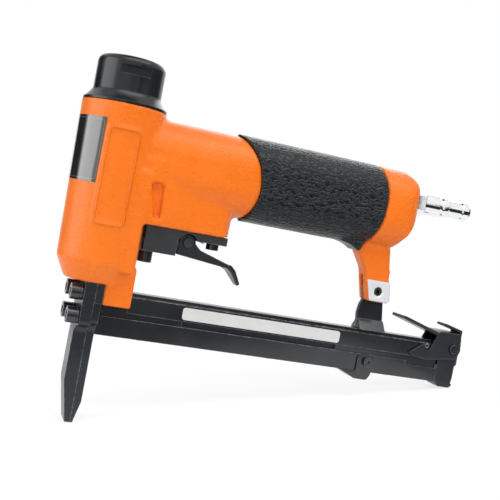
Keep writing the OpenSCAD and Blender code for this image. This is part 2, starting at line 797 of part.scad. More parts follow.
module head_valve() {
  color("#d7d2c4") difference() {
    bar_z(valve_z0, valve_z1, valve_r);
    bar_z(spring_floor, valve_z1 + 1, spring_pocket_r);
    translate([0, 0, valve_z1 - 3]) rotate_extrude()
      translate([valve_r, 0]) square([3, 2], center = true);
  }
}

module head_valve_seal() {
  color("#1c1c1c") translate([0, 0, valve_z1 - 3]) o_ring(valve_r - 0.7, 1.36);
}

module head_valve_spring() {
  color("#b9bec5") translate([0, 0, spring_floor + clear])
    coil(head_coil_r, head_coil_h, head_curls, head_wire);
}

module nose_front_plate() {
  color("#3c3f43") difference() {
    intersection() {
      along_x(nose_x0, split_x) nose_outline(plate_w / 2, plate_z0);
      along_y(-far, far) polygon([[split_x, 0], [-split_x - tip_d, 0], [nose_x0 + 3.3, 4.2],
        [nose_x0, tip_slope_h], [nose_x0, nose_l + 0.7], [plate_x0, plate_z0], [plate_x0, body_z0],
        [split_x, body_z0]]);
    }
    box([-split_x, -blade_w / 2 - slide, -1], [split_x + 1, blade_w / 2 + slide, body_z0 + 1]);
    at_nose_screws() bar_x(-far, far, screw_d / 2 + 0.2);
  }
}

module nose_rear_plate() {
  color("#303338") difference() {
    intersection() {
      along_x(split_x, rear_x1) union() {
        nose_outline(plate_w / 2 - 2.2, plate_z0 + 1);
        translate([-plate_w / 2, block_z0 + 0.6]) square([plate_w, body_z0 - block_z0 - 0.6]);
      }
      along_y(-far, far) polygon([[split_x, 0], [split_x + tip_d - 0.3, 0], [rear_x1, tip_heel_h],
        [rear_x1, body_z0], [split_x, body_z0]]);
    }
    // Staple inlet and seat of the guide rod
    box([split_x - 1, -skirt_in, floor_z], [rear_x1 + 1, skirt_in, core_z1 + 1.4]);
    translate([0, 0, rod_z]) bar_x(rear_x1 - 2, rear_x1 + 1, rod_d / 2 + seat);
    at_nose_screws() bar_x(-far, far, screw_d / 2 + seat);
  }
}

// Socket head screw along +X, its head seated at x = 0
module socket_screw(d, head_d, head_h, l) {
  difference() {
    union() {
      bar_x(-head_h, 0, head_d / 2);
      bar_x(0, l, d / 2);
    }
    translate([-head_h - 1, 0, 0]) rotate([0, 90, 0]) cylinder(h = head_h * 0.55 + 1, r = d * 0.46, $fn = 6);
  }
}

module nose_screws() {
  x = plate_x0 - washer_t;
  color("#1b1c1f") for (y = [-1, 1], z = [0, 1])
    translate([x, y * screw_pitch_y / 2, screw_z0 + z * screw_pitch_z])
      socket_screw(screw_d, screw_head_d, screw_head_h, (z == 0 ? rear_x1 - 0.2 : block_x1 - 4) - x);
}

module nose_washers() {
  color("#6f747a") at_nose_screws() difference() {
    bar_x(plate_x0 - washer_t, plate_x0, screw_head_d / 2 - 0.1);
    bar_x(plate_x0 - far, far, screw_d / 2 + 0.15);
    translate([plate_x0, 0, 0]) rotate([0, 0, 20]) box([-far, -0.4, 0], [far, 0.4, far]);
  }
}

module trigger_bracket() {
  half = bracket_w / 2;
  arch_r = trigger_hub_d / 2 + clear;
  color("#25272b") difference() {
    union() {
      box([bracket_x0, -half, bracket_z0], [bracket_x1, half, bracket_z1]);
      translate([valve_x, 0, 0]) bar_z(bracket_z0, bracket_z1, bushing_d / 2 + valve_wall);
      box([bracket_x0, -half, bracket_low], [bracket_block_x1, half, bracket_z1]);
      for (k = [-1, 1]) along_y(min(k * rib_in, k * rib_out), max(k * rib_in, k * rib_out)) {
        translate([trigger_x, trigger_z]) circle(trigger_hub_d / 2);
        translate([trigger_x - trigger_hub_d / 2, trigger_z]) square([trigger_hub_d, bracket_z1 - trigger_z]);
      }
    }
    // Arches that let the trigger's cheeks turn
    for (k = [-1, 1]) translate([trigger_x, k * (rib_out + half + 1) / 2, trigger_z])
      bar_y(-(half + 1 - rib_out) / 2, (half + 1 - rib_out) / 2, arch_r);
    // Space of the trigger spring
    translate([trigger_x, 0, trigger_z]) bar_y(-rib_in, rib_in, torsion_r + 1);
    box([trigger_x, -rib_in, bracket_low],
      [trigger_x + torsion_leg_up[0] + 1, rib_in, trigger_z + torsion_r + 0.8]);
    translate([trigger_x, 0, trigger_z]) bar_y(-far, far, trigger_pin_d / 2 + run);
    translate([valve_x, 0, 0]) bar_z(bracket_z0 - 1, bracket_z1 + 1, bushing_d / 2 + seat);
    translate([bracket_screw_x, 0, 0]) bar_z(bracket_low - 1, bracket_z1 + 1, screw_d / 2 + 0.2);
  }
}

module bracket_screw() {
  color("#131416") translate([bracket_screw_x, 0, bracket_low]) rotate([0, -90, 0])
    socket_screw(screw_d, 7.6, 6.3, bracket_block_h + 9);
}

// Side shape of the trigger's cheeks in X and Z, about the trigger pin
module trigger_cheek() {
  difference() {
    union() {
      circle(trigger_hub_d / 2);
      polygon([[-4.2, -1.8], [-4.9, -7], [24.1, -10], [26.2, -9.6], [24.3, -7.7], [7.8, -2.8], [3.4, 1.2]]);
    }
    circle(trigger_pin_d / 2 + run);
  }
}

// Finger blade of the trigger in X and Z: a flat that bends down to the tip
module trigger_blade() {
  polygon([[6, -8.13], [24.1, -10], [27.6, -11.9], [33.4, -19], [34.8, -18.4], [35.1, -17.6],
    [30.6, -10.6], [27.2, -8], [24.3, -10 + trigger_t], [6, -8.13 + trigger_t]]);
}

module trigger() {
  color("#3a3f46") translate([trigger_x, 0, trigger_z]) {
    for (k = [-1, 1]) {
      a = k * (rib_out + clear);
      b = k * trigger_w / 2;
      along_y(min(a, b), max(a, b)) trigger_cheek();
    }
    intersection() {
      along_y(-trigger_w / 2, trigger_w / 2) trigger_blade();
      // Taper toward the tip
      translate([0, 0, -far / 2]) linear_extrude(far) polygon([[0, -trigger_w / 2], [23, -trigger_w / 2],
        [31, -4.6], [36, -2], [36, 2], [31, 4.6], [23, trigger_w / 2], [0, trigger_w / 2]]);
    }
  }
}

module trigger_pin() {
  y = trigger_w / 2 + clear;
  color("#1d1e21") translate([trigger_x, 0, trigger_z]) difference() {
    union() {
      bar_y(-y - 1, -y, trigger_pin_d / 2 + 0.5);
      bar_y(-y, y + 1.6, trigger_pin_d / 2);
    }
    difference() {
      bar_y(y + 0.3, y + 0.9, trigger_pin_d);
      bar_y(y, y + 1, trigger_pin_d / 2 - 0.5);
    }
  }
}

module trigger_clip() {
  y = trigger_w / 2 + clear;
  color("#6f747a") translate([trigger_x, 0, trigger_z]) difference() {
    bar_y(y + 0.35, y + 0.85, trigger_pin_d / 2 + 1.4);
    bar_y(y, y + 1, trigger_pin_d / 2 - 0.45);
    box([-1, y, 0], [1, y + 1, far]);
  }
}

// Torsion spring round the trigger pin: a leg under the bracket, curls, and a leg over the trigger's blade
function torsion_path() = let (
    r = torsion_r, y0 = -torsion_pitch * torsion_curls / 2, a0 = leg_angle(torsion_leg_up))
  concat([[torsion_leg_up[0], y0, torsion_leg_up[1]]],
    [for (i = [0:torsion_curls * CURL_RINGS]) let (s = i / CURL_RINGS, a = a0 + 360 * s)
      [r * cos(a), y0 + torsion_pitch * s, r * sin(a)]],
    [[torsion_leg_down[0], -y0, torsion_leg_down[1]]]);

// Angle at which a straight leg from a point touches the curl, on its upper side
function leg_angle(p) = atan2(p[1], p[0]) + acos(torsion_r / norm(p));

module trigger_spring() {
  color("#c9cdd2") translate([trigger_x, 0, trigger_z]) tube(torsion_path(), torsion_wire / 2, [0, 1, 0]);
}

module valve_bushing() {
  color("#8a7a4a") translate([valve_x, 0, 0]) difference() {
    bar_z(bracket_z0, bushing_z1, bushing_d / 2);
    bar_z(bracket_z0 - 1, bushing_z1, stem_d / 2 + run);
    bar_z(bracket_z0 - 1, button_z0 + button_h + stem_lift + clear, button_d / 2 + clear);
    bar_z(bushing_floor, cavity_z1, cavity_r);
    bar_z(cavity_z1 - 1, bushing_z1 + 1, stem_d / 2 + run);
    for (z = valve_seal_z) translate([0, 0, z]) rotate_extrude()
      translate([bushing_d / 2, 0]) square([1.8, 1.5], center = true);
  }
}

module valve_seals() {
  color("#1c1c1c") for (z = valve_seal_z) translate([valve_x, 0, z])
    o_ring(bushing_d / 2 - valve_ring_d / 2, valve_ring_d);
}

module valve_stem() {
  color("#17181b") translate([valve_x, 0, 0]) {
    bar_z(button_z0, button_z0 + button_h, button_d / 2);
    bar_z(button_z0, bushing_z1 + 2, stem_d / 2);
    bar_z(collar_z, collar_z + collar_h, cavity_r - 0.4);
  }
}

module valve_spring() {
  color("#b9bec5") translate([valve_x, 0, collar_z + collar_h + clear])
    coil(stem_coil_r, stem_coil_h, stem_curls, stem_wire);
}

// Rubber sleeve between the handle's collar and its rear head, with a flare toward the leg
module grip_sleeve() {
  x0 = grip_x0 - 18;
  flare_x = grip_x1 - 18;
  flare_z = handle_low - flare_r - 0.3;
  color("#26282b") difference() {
    intersection() {
      union() {
        along_x(x0, grip_x1 + 5) stadium(0);
        along_y(-leg_w / 2 - 1.5, leg_w / 2 + 1.5) difference() {
          translate([flare_x, handle_low - 7]) square([30, 12]);
          translate([flare_x, flare_z]) circle(flare_r);
        }
      }
      grip_rear_zone(-seat);
    }
    grip_front_zone(-seat);
    along_x(0, far) stadium(grip_t - seat);
  }
}

module rear_cover() {
  color("#c4c8cd") cover_place() difference() {
    bar_z(cover_dist, cover_dist + cover_t, cover_r);
    bar_z(0, far, cover_screw_d / 2 + seat);
  }
}

module rear_cover_screw() {
  z = cover_dist + cover_t;
  color("#26282b") cover_place() difference() {
    union() {
      bar_z(z, z + 1.7, cover_screw_d / 2 + 1.7);
      bar_z(cover_dist - 3.6, z, cover_screw_d / 2);
    }
    translate([0, 0, z + 0.7]) cylinder(h = 5, r = 1.15, $fn = 6);
  }
}

// Air plug profile along +X from the hexagon's seat: radius against place
module air_plug() {
  x0 = head_x1 - 1.6;
  x1 = x0 + hex_l;
  barrel_r = barrel_d / 2;
  tip_r = tip_dia / 2;
  color("#d9dcdf") translate([0, 0, plug_z]) difference() {
    union() {
      bar_x(x0 - thread_l, x0, thread_d / 2);
      translate([x0, 0, 0]) rotate([0, 90, 0]) cylinder(h = x1 - x0, d = hex_af / cos(30), $fn = 6);
      rotate([0, 90, 0]) rotate_extrude() polygon([[0, x1], [barrel_r, x1], [barrel_r, x1 + 10.2],
        [tip_r - 0.2, x1 + 11], [tip_r - 0.2, x1 + 12.4], [barrel_r - 0.4, x1 + 13.2],
        [barrel_r - 0.4, x1 + 15.6], [tip_r - 0.5, x1 + 17.2], [tip_r - 0.5, x1 + 25.8],
        [tip_r, x1 + 26.6], [tip_r, x1 + 30.2], [tip_r - 1.4, x1 + 32], [0, x1 + 32]]);
    }
    bar_x(x0 - thread_l - 1, x1 + 40, plug_bore_d / 2);
  }
}

// Fixed magazine channel: shouldered roof with a spine and two skirts that guide the staples
module fixed_channel() {
  color("#2d3034") difference() {
    union() {
      along_x(block_x1, plug_x0 + plug_l) {
        translate([-mag_w / 2, upper_z0]) square([mag_w, upper_h]);
        translate([-spine_w / 2, upper_z0]) square([spine_w, upper_h + spine_h]);
      }
      along_x(rear_x1, mag_x1 - 1) translate([-skirt_out, skirt_z0])
        square([2 * skirt_out, upper_z0 + 0.5 - skirt_z0]);
      along_x(rear_x1, block_x1 + 0.5) translate([-skirt_out, upper_z0])
        square([2 * skirt_out, block_z0 - seat - upper_z0]);
    }
    along_x(0, far) {
      translate([-skirt_in, 0]) square([2 * skirt_in, roof_z]);
      translate([-spine_in, 0]) square([2 * spine_in, spine_roof_z]);
    }
    // Staple window
    box([window_x0, -far, upper_z0 - channel_gap + 0.1], [window_x0 + window_l, far, upper_z0 - 0.1]);
    translate([catch_x, 0, catch_z]) bar_y(-far, far, catch_d / 2 + seat);
  }
}

module magazine_label() {
  z = upper_z0 + upper_h / 2;
  color("#f2f3f1") translate([window_x0 + window_l / 2, 0, z])
    along_y(-mag_w / 2 - label_t, -mag_w / 2) rounded(window_l + 2, upper_h - 2, 1.6);
}

// Plain label that follows the front of the cylinder
module body_label() {
  z0 = body_z1 - wrap_drop;
  h = wrap_h;
  r0 = body_r_at(z0);
  r1 = body_r_at(z0 + h);
  color("#4a4d52") intersection() {
    difference() {
      translate([0, 0, z0]) cylinder(h = h, r1 = r0 + label_t, r2 = r1 + label_t);
      translate([0, 0, z0]) cylinder(h = h, r1 = r0 + label_glue, r2 = r1 + label_glue);
    }
    translate([wrap_x - far, -far, z0]) cube([far, 2 * far, h]);
  }
}

module guide_rod() {
  color("#aeb3b9") translate([0, 0, rod_z]) bar_x(rear_x1 - 1.9, plug_x0 + 3, rod_d / 2);
}

module pusher() {
  half = skirt_in - slide;
  color("#8d939b") difference() {
    union() {
      box([pusher_x0, -half, skirt_z0 - 0.4], [pusher_x1, half, roof_z - slide]);
      box([pusher_x0, slide - spine_in, skirt_z0], [pusher_x1, spine_in - slide, spine_roof_z - slide]);
    }
    box([0, -core_w / 2 - slide, 0], [far, core_w / 2 + slide, core_z1 + slide]);
    translate([0, 0, rod_z]) bar_x(0, far, rod_d / 2 + run);
  }
}

module pusher_spring() {
  color("#c9cdd2") translate([pusher_x1 + clear, 0, rod_z]) rotate([0, 90, 0])
    coil(coil_r, pusher_spring_l, pusher_curls, pusher_wire_d);
}

module spring_seat() {
  half = skirt_in - seat;
  color("#3c3f43") difference() {
    union() {
      box([plug_x0, -half, core_z1 + clear], [plug_x0 + plug_l, half, roof_z - seat]);
      box([plug_x0, seat - spine_in, core_z1 + clear],
        [plug_x0 + plug_l, spine_in - seat, spine_roof_z - seat]);
    }
    translate([0, 0, rod_z]) bar_x(0, plug_x0 + 3.2, rod_d / 2 + seat);
    translate([catch_x, 0, catch_z]) bar_y(-far, far, catch_d / 2 + seat);
  }
}

module catch_pin() {
  y = latch_in - clear / 2;
  color("#c9cdd2") translate([catch_x, 0, catch_z]) difference() {
    bar_y(-y, y, catch_d / 2);
    bar_y(-far, far, catch_d / 2 - 0.6);
    box([0, -far, -0.25], [far, far, 0.25]);
  }
}

// Bracket between the leg and the fixed channel: a sheet tongue in the leg's slot on a flared foot
module rear_bracket() {
  x0 = leg_foot_x - 1;
  x1 = leg_foot_x + 15.6;
  half = tongue_t / 2 - seat;
  color("#1a1b1d") difference() {
    union() {
      along_y(-half, half) polygon([[x0, mag_top + 1], [x1 - 0.3, mag_top + 1], [x1 - 1, mag_top + 8],
        [x1 - 2.6, leg_z0], [x1 - 4.6, lug_z1 + 2.4], [x0 - 1.3, lug_z1 + 2.4], [x0 + 0.8, leg_z0 + 0.5],
        [x0 - 0.6, leg_z0 - 3], [x0 - 1.2, mag_top + 9]]);
      along_x(x0, x1) polygon([[-mag_w / 2, mag_top], [mag_w / 2, mag_top], [half, mag_top + 6],
        [-half, mag_top + 6]]);
    }
    translate([leg_bolt_x, 0, leg_bolt_z]) bar_y(-far, far, leg_bolt_d / 2 + seat);
  }
}

module leg_bolt() {
  y = leg_w / 2 - 0.6;
  color("#2a2b2e") translate([leg_bolt_x, 0, leg_bolt_z]) difference() {
    bar_y(-y, y, leg_bolt_d / 2);
    translate([0, 4 - y, 0]) rotate([90, 0, 0]) cylinder(h = 10, r = leg_bolt_d * 0.29, $fn = 6);
  }
}

// Sliding channel that covers the staples from below
module sliding_channel() {
  x0 = rear_x1 + slide;
  color("#2d3034") difference() {
    along_x(x0, mag_x1) difference() {
      translate([-mag_w / 2, nose_l]) square([mag_w, lower_h]);
      translate([lower_wall - mag_w / 2, floor_z]) square([mag_w - 2 * lower_wall, lower_h]);
    }
    box([mag_x1 - 21.5, -far, lower_z1 - 2.2], [mag_x1 - 1.4, far, far]);
    for (k = [-1, 1]) translate([clip_screw_x, k * mag_w / 2, clip_screw_z])
      bar_y(-2, 2, clip_screw_d / 2 + seat);
    for (x = rivet_x) translate([x, 0, 0]) bar_z(0, floor_z + 1, rivet_d / 2 + seat);
  }
}

module staple_core() {
  color("#b4b9bf") difference() {
    box([rear_x1 + clear, -core_w / 2, floor_z], [mag_x1, core_w / 2, core_z1]);
    for (x = rivet_x) translate([x, 0, 0]) bar_z(0, floor_z + 5, rivet_d / 2 + seat);
  }
}

module core_rivets() {
  color("#6f747a") for (x = rivet_x) translate([x, 0, 0]) {
    bar_z(nose_l - 0.8, nose_l, rivet_d / 2 + 1.1);
    bar_z(nose_l - 0.8, floor_z + 4.8, rivet_d / 2);
  }
}

// End cap of the sliding channel, with its foot and its upright finger tab
module end_cap() {
  half = mag_w / 2;
  tab_x = end_cap_x1 + 1.6;
  color("#33373c") difference() {
    union() {
      along_y(-half, half) {
        polygon([[end_cap_x0, nose_l], [end_cap_x1 - 0.6, nose_l], [end_cap_x1, nose_l + 3],
          [end_cap_x1, end_cap_z1], [end_cap_x0, end_cap_z1]]);
        polygon([[end_cap_x0 + 1, nose_l], [end_cap_x0 + 3.4, nose_l - 2.7], [end_cap_x1 - 1.2, nose_l - 2.7],
          [end_cap_x1 + 0.9, nose_l - 0.6], [end_cap_x1 - 0.6, nose_l]]);
      }
      along_y(1 - half, half - 1) polygon([[end_cap_x1 - 2, nose_l + 9], [tab_x, nose_l + 11],
        [tab_x, latch_top + 3.4], [tab_x - 12, latch_top + 6.2], [tab_x - 12.4, latch_top + 4.6],
        [tab_x - 2, latch_top + 2.2], [end_cap_x1 - 0.2, end_cap_z1], [end_cap_x1 - 2, end_cap_z1]]);
    }
    translate([latch_x, 0, latch_z]) bar_y(-far, far, latch_pin_d / 2 + seat);
  }
}

// Side shape of the latch plates in X and Z
module latch_side() {
  difference() {
    polygon([[latch_x - 28.8, latch_z - 5.7], [latch_x - 20.2, latch_z + 0.6],
      [latch_x - 15.9, latch_z - 3.3], [latch_x - 10.8, latch_top], [latch_x + 4.6, latch_top],
      [latch_x + 5.6, latch_z - 1], [latch_x + 3.6, latch_z - 6], [latch_x - 7.3, latch_z - 7.6],
      [latch_x - 17.3, latch_z - 9], [latch_x - 25.8, latch_z - 7.6]]);
    translate([latch_x, latch_z]) circle(latch_pin_d / 2 + run);
  }
}

module latch_lever() {
  color("#3a4047") union() {
    along_y(-latch_out, -latch_in) latch_side();
    along_y(latch_in, latch_out) latch_side();
    // Bridge over the end cap and thumb plate
    box([latch_x - 10.4, -latch_out, latch_bridge_z], [latch_x + 3.4, latch_out, latch_top + 1.3]);
    translate([latch_x - 9.4, 0, latch_top]) rotate([0, thumb_tilt, 0])
      box([-thumb_l, -latch_out, -2], [0, latch_out, 0]);
  }
}

module latch_pin() {
  y = latch_out + clear;
  color("#24262a") translate([latch_x, 0, latch_z]) {
    bar_y(-y, y, latch_pin_d / 2);
    for (k = [-1, 1]) translate([0, k * (y + 0.5), 0]) bar_y(-0.5, 0.5, latch_pin_d / 2 + 0.6);
  }
}

module latch_spring() {
  color("#c9cdd2") translate([end_cap_x0 + 2.8, 0, end_cap_z1 + clear])
    coil(latch_coil_r, latch_coil_h, latch_curls, latch_wire);
}

// Bent clip round the sliding channel, with a pointed finger pull underneath
module pull_clip() {
  half = mag_w / 2;
  x1 = clip_x + clip_l;
  color("#1d1f22") difference() {
    union() {
      for (k = [-1, 1]) {
        a = k * (half + 0.02);
        b = k * (half + clip_t);
        along_y(min(a, b), max(a, b)) polygon([[clip_x, nose_l - 1], [x1, nose_l - 1],
          [x1, lower_z1 - 0.8], [clip_x + 1, lower_z1 - 0.8], [clip_x, lower_z1 - 1.8]]);
      }
      along_y(-half - clip_t, half + clip_t) polygon([[clip_x - 10.4, nose_l - 0.02],
        [clip_x, nose_l - 4.4], [x1 - 2.6, nose_l - 4.6], [x1 - 1.6, nose_l - 3.8], [x1, nose_l - 1],
        [x1, nose_l - 0.02]]);
    }
    for (k = [-1, 1]) translate([clip_screw_x, k * half, clip_screw_z]) bar_y(-4, 4, clip_screw_d / 2 + seat);
    along_y(-half, half) polygon([[clip_x - 4, nose_l - 1.4], [clip_x + 0.6, nose_l - 3.2],
      [x1 - 3.2, nose_l - 3.3], [x1 - 2.2, nose_l - 1.4]]);
  }
}

module clip_screw() {
  y = mag_w / 2 + clip_t;
  color("#3f444a") for (k = [-1, 1]) translate([clip_screw_x, k * y, clip_screw_z])
    rotate([0, 0, -90 * k]) socket_screw(clip_screw_d, 5.4, 2.2, clip_t + lower_wall - 0.1);
}

body_casting();
head_cap();
cap_seal();
cylinder_liner();
liner_seal();
bumper();
piston();
piston_seal();
driver_blade();
driver_pin();
head_valve();
head_valve_seal();
head_valve_spring();
nose_front_plate();
nose_rear_plate();
nose_screws();
nose_washers();
trigger_bracket();
bracket_screw();
trigger();
trigger_pin();
trigger_clip();
trigger_spring();
valve_bushing();
valve_seals();
valve_stem();
valve_spring();
grip_sleeve();
rear_cover();
rear_cover_screw();
air_plug();
fixed_channel();
magazine_label();
body_label();
guide_rod();
pusher();
pusher_spring();
spring_seat();
catch_pin();
rear_bracket();
leg_bolt();
sliding_channel();
staple_core();
core_rivets();
end_cap();
latch_lever();
latch_pin();
latch_spring();
pull_clip();
clip_screw();
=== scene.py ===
# %% [markdown]
# # Dressing an air stapler
# The CAD assembly arrives as a fixed frame: every solid is already in its place, in metres, and rides
# on its own moving body. This lesson gives those solids their finishes, softens the edges that catch
# the light, and rebuilds the cast body, the rubber grip and the wire springs as fuller shapes.

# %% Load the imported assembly
import json
import math

import bmesh
import bpy
from mathutils import Matrix, Vector
from mathutils import noise as space_noise


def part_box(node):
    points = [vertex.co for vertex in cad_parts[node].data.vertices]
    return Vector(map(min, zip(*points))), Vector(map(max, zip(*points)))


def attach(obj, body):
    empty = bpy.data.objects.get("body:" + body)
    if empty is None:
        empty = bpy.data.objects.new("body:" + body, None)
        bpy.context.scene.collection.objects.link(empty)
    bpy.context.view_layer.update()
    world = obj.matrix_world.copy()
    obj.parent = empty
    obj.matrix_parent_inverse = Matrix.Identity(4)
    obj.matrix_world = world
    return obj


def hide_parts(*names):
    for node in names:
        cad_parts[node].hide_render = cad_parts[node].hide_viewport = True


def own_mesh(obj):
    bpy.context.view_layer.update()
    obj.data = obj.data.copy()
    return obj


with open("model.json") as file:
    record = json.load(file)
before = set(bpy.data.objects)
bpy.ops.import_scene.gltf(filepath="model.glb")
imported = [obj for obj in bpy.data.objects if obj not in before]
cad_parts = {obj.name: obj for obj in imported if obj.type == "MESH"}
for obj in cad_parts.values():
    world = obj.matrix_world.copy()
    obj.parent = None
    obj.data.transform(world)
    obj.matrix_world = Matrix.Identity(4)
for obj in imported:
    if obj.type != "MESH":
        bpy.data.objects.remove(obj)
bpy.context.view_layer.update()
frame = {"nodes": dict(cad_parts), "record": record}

MM = 0.001
nodes = frame["nodes"]
scene = bpy.context.scene
scene.view_settings.view_transform = "Standard"
body_of_node = {n: b for b, group in frame["record"]["behaviour"]["bodies"].items() for n in group}
slot_of_node = {s["node"]: s["material_slot"] for s in frame["record"]["subparts"]}

# %% [markdown]
# ## Camera
# The tool was photographed from its right side, a little toward its nose, with the lens almost level.
# The tool leans back on its nose tip and on the foot of its magazine, so the picture is turned about
# the line of sight. The camera's own axes are worked out from those three angles.

# %% Camera
AZIMUTH = math.radians(19.01)
ELEVATION = math.radians(1.78)
ROLL = math.radians(10.88)
CAMERA_PLACE = Vector((-76.7, -463.3, 120.1)) * MM
LENS = 63.54

look = Vector((math.sin(AZIMUTH) * math.cos(ELEVATION), math.cos(AZIMUTH) * math.cos(ELEVATION),
               -math.sin(ELEVATION)))
level_right = look.cross(Vector((0, 0, 1))).normalized()
level_up = level_right.cross(look)
right = math.cos(ROLL) * level_right + math.sin(ROLL) * level_up
up = math.cos(ROLL) * level_up - math.sin(ROLL) * level_right

camera_data = bpy.data.cameras.new("photo_camera")
camera_data.lens = LENS
camera_data.sensor_width = 36
camera_data.clip_start = 0.01
camera = bpy.data.objects.new("photo_camera", camera_data)
turn = Matrix((right, up, -look)).transposed().to_4x4()
camera.matrix_world = Matrix.Translation(CAMERA_PLACE) @ turn
scene.collection.objects.link(camera)
scene.camera = camera
print("camera at", tuple(round(v, 4) for v in CAMERA_PLACE))

# %% [markdown]
# ## Studio
# A product photograph like this one is made on a white sweep under large soft lights. The floor here is
# a plane under the nose tip and the magazine's foot. Seen by the camera it is nearly white, keeps a
# faint shadow under the tool and fades into the white around it. The world is white where it is seen or
# mirrored, and dimmer where it only lights the tool, so that colours come out about as they are written.


# %% Helpers for node trees
def add(tree, kind, **values):
    """Adds a shader node and sets its properties."""
    node = tree.nodes.new(kind)
    for key, value in values.items():
        setattr(node, key, value)
    return node


def wire(tree, source, target):
    """Links one socket to another."""
    tree.links.new(source, target)


def math_node(tree, operation, a, b=None, clamp=False):
    """A Math node whose inputs are sockets or numbers. Returns its output."""
    node = add(tree, "ShaderNodeMath", operation=operation, use_clamp=clamp)
    for socket, value in zip(node.inputs, (a, b)):
        if isinstance(value, bpy.types.NodeSocket):
            wire(tree, value, socket)
        elif value is not None:
            socket.default_value = value
    return node.outputs[0]


def seen_rays(tree):
    """1 for rays that show a surface, mirror it or pass through glass, and 0 for light it sheds."""
    path = add(tree, "ShaderNodeLightPath")
    seen = math_node(tree, "MAXIMUM", path.outputs["Is Camera Ray"], path.outputs["Is Glossy Ray"])
    return math_node(tree, "MAXIMUM", seen, path.outputs["Is Transmission Ray"])


def mix_shaders(tree, factor, first, second):
    """Mixes two shader sockets by a factor socket. Returns the output."""
    mix = add(tree, "ShaderNodeMixShader")
    for socket, source in zip(mix.inputs, (factor, first, second)):
        wire(tree, source, socket)
    return mix.outputs[0]


# %% World
SEEN_WHITE = 1.0
FILL_LIGHT = 0.42
FILL_COLOUR = (0.95, 0.97, 1, 1)
world = bpy.data.worlds.new("white_studio")
scene.world = world
world.use_nodes = True
tree = world.node_tree
tree.nodes.clear()
fill = add(tree, "ShaderNodeBackground")
fill.inputs["Color"].default_value = FILL_COLOUR
fill.inputs["Strength"].default_value = FILL_LIGHT
seen = add(tree, "ShaderNodeBackground")
seen.inputs["Color"].default_value = (1, 1, 1, 1)
seen.inputs["Strength"].default_value = SEEN_WHITE
mixed = mix_shaders(tree, seen_rays(tree), fill.outputs[0], seen.outputs[0])
wire(tree, mixed, add(tree, "ShaderNodeOutputWorld").inputs["Surface"])
print("world:", world.name)

# %% Floor
TIP_HEEL_X = 1.9 * MM
FOOT_X = 221.3 * MM
FLOOR_LEFT = -0.6
FLOOR_RIGHT = 0.228
FLOOR_SIDE = 0.7
FLOOR_GAP = 0.0002
foot_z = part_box("end_cap")[0][2]
floor_tilt = math.atan2(foot_z, FOOT_X - TIP_HEEL_X)


def stage_plane(name, corners):
    """A four-sided plane that isn't part of the object."""
    shape = bmesh.new()
    shape.faces.new([shape.verts.new(c) for c in corners])
    mesh = bpy.data.meshes.new(name)
    shape.to_mesh(mesh)
    shape.free()
    plane = bpy.data.objects.new(name, mesh)
    scene.collection.objects.link(plane)
    return plane


def floor_point(x, y):
    """A point of the tilted floor, just under what stands on it."""
    return (x, y, (x - TIP_HEEL_X) * math.tan(floor_tilt) - FLOOR_GAP)


floor = stage_plane("floor", [floor_point(FLOOR_LEFT, -FLOOR_SIDE), floor_point(FLOOR_RIGHT, -FLOOR_SIDE),
                              floor_point(FLOOR_RIGHT, FLOOR_SIDE), floor_point(FLOOR_LEFT, FLOOR_SIDE)])

# %% Paper of the floor
PAPER_SHOWN = (0.3, 0.3, 0.3, 1)
PAPER_BOUNCE = (0.85, 0.85, 0.85, 1)
PAPER_GLOW = 0.76
FADE_CENTRE = (0.1, 0, 0.02)
FADE_START = 0.1
FADE_END = 0.34
paper = bpy.data.materials.new("white_sweep")
paper.use_nodes = True
tree = paper.node_tree
tree.nodes.clear()
diffuse = add(tree, "ShaderNodeBsdfDiffuse")
diffuse.inputs["Color"].default_value = PAPER_SHOWN
bounce = add(tree, "ShaderNodeBsdfDiffuse")
bounce.inputs["Color"].default_value = PAPER_BOUNCE
glow = add(tree, "ShaderNodeEmission")
glow.inputs["Strength"].default_value = PAPER_GLOW
near = add(tree, "ShaderNodeAddShader")
wire(tree, diffuse.outputs[0], near.inputs[0])
wire(tree, glow.outputs[0], near.inputs[1])
plain = add(tree, "ShaderNodeEmission")
away = add(tree, "ShaderNodeVectorMath", operation="DISTANCE")
wire(tree, add(tree, "ShaderNodeTexCoord").outputs["Object"], away.inputs[0])
away.inputs[1].default_value = FADE_CENTRE
fade = add(tree, "ShaderNodeMapRange", clamp=True, interpolation_type="SMOOTHSTEP")
wire(tree, away.outputs["Value"], fade.inputs["Value"])
fade.inputs["From Min"].default_value = FADE_START
fade.inputs["From Max"].default_value = FADE_END
shown = mix_shaders(tree, fade.outputs["Result"], near.outputs[0], plain.outputs[0])
by_ray = mix_shaders(tree, seen_rays(tree), bounce.outputs[0], shown)
below = add(tree, "ShaderNodeBsdfTransparent")
face = add(tree, "ShaderNodeNewGeometry")
both = mix_shaders(tree, face.outputs["Backfacing"], by_ray, below.outputs[0])
wire(tree, both, add(tree, "ShaderNodeOutputMaterial").inputs["Surface"])
floor.data.materials.append(paper)
print("floor tilt:", round(math.degrees(floor_tilt), 2))

# %% Lights
CENTRE = Vector((0.1, 0, 0.11))


def soft_light(name, place, size, power):
    """A softbox that faces the middle of the tool. size is its width and height."""
    data = bpy.data.lights.new(name, "AREA")
    data.shape = "RECTANGLE"
    data.size, data.size_y = size
    data.energy = power
    lamp = bpy.data.objects.new(name, data)
    lamp.location = place
    lamp.rotation_euler = (CENTRE - Vector(place)).to_track_quat("-Z", "Y").to_euler()
    scene.collection.objects.link(lamp)
    return lamp


soft_light("key_left", (-0.78, -0.06, 0.25), (0.7, 0.7), 3.9)
soft_light("top", (0.12, -0.35, 0.85), (0.9, 0.45), 3.2)
soft_light("front_right", (0.4, -0.95, 0.45), (0.5, 0.3), 4.2).visible_glossy = False
soft_light("back", (0.3, 0.7, 0.6), (0.8, 0.5), 2.0)

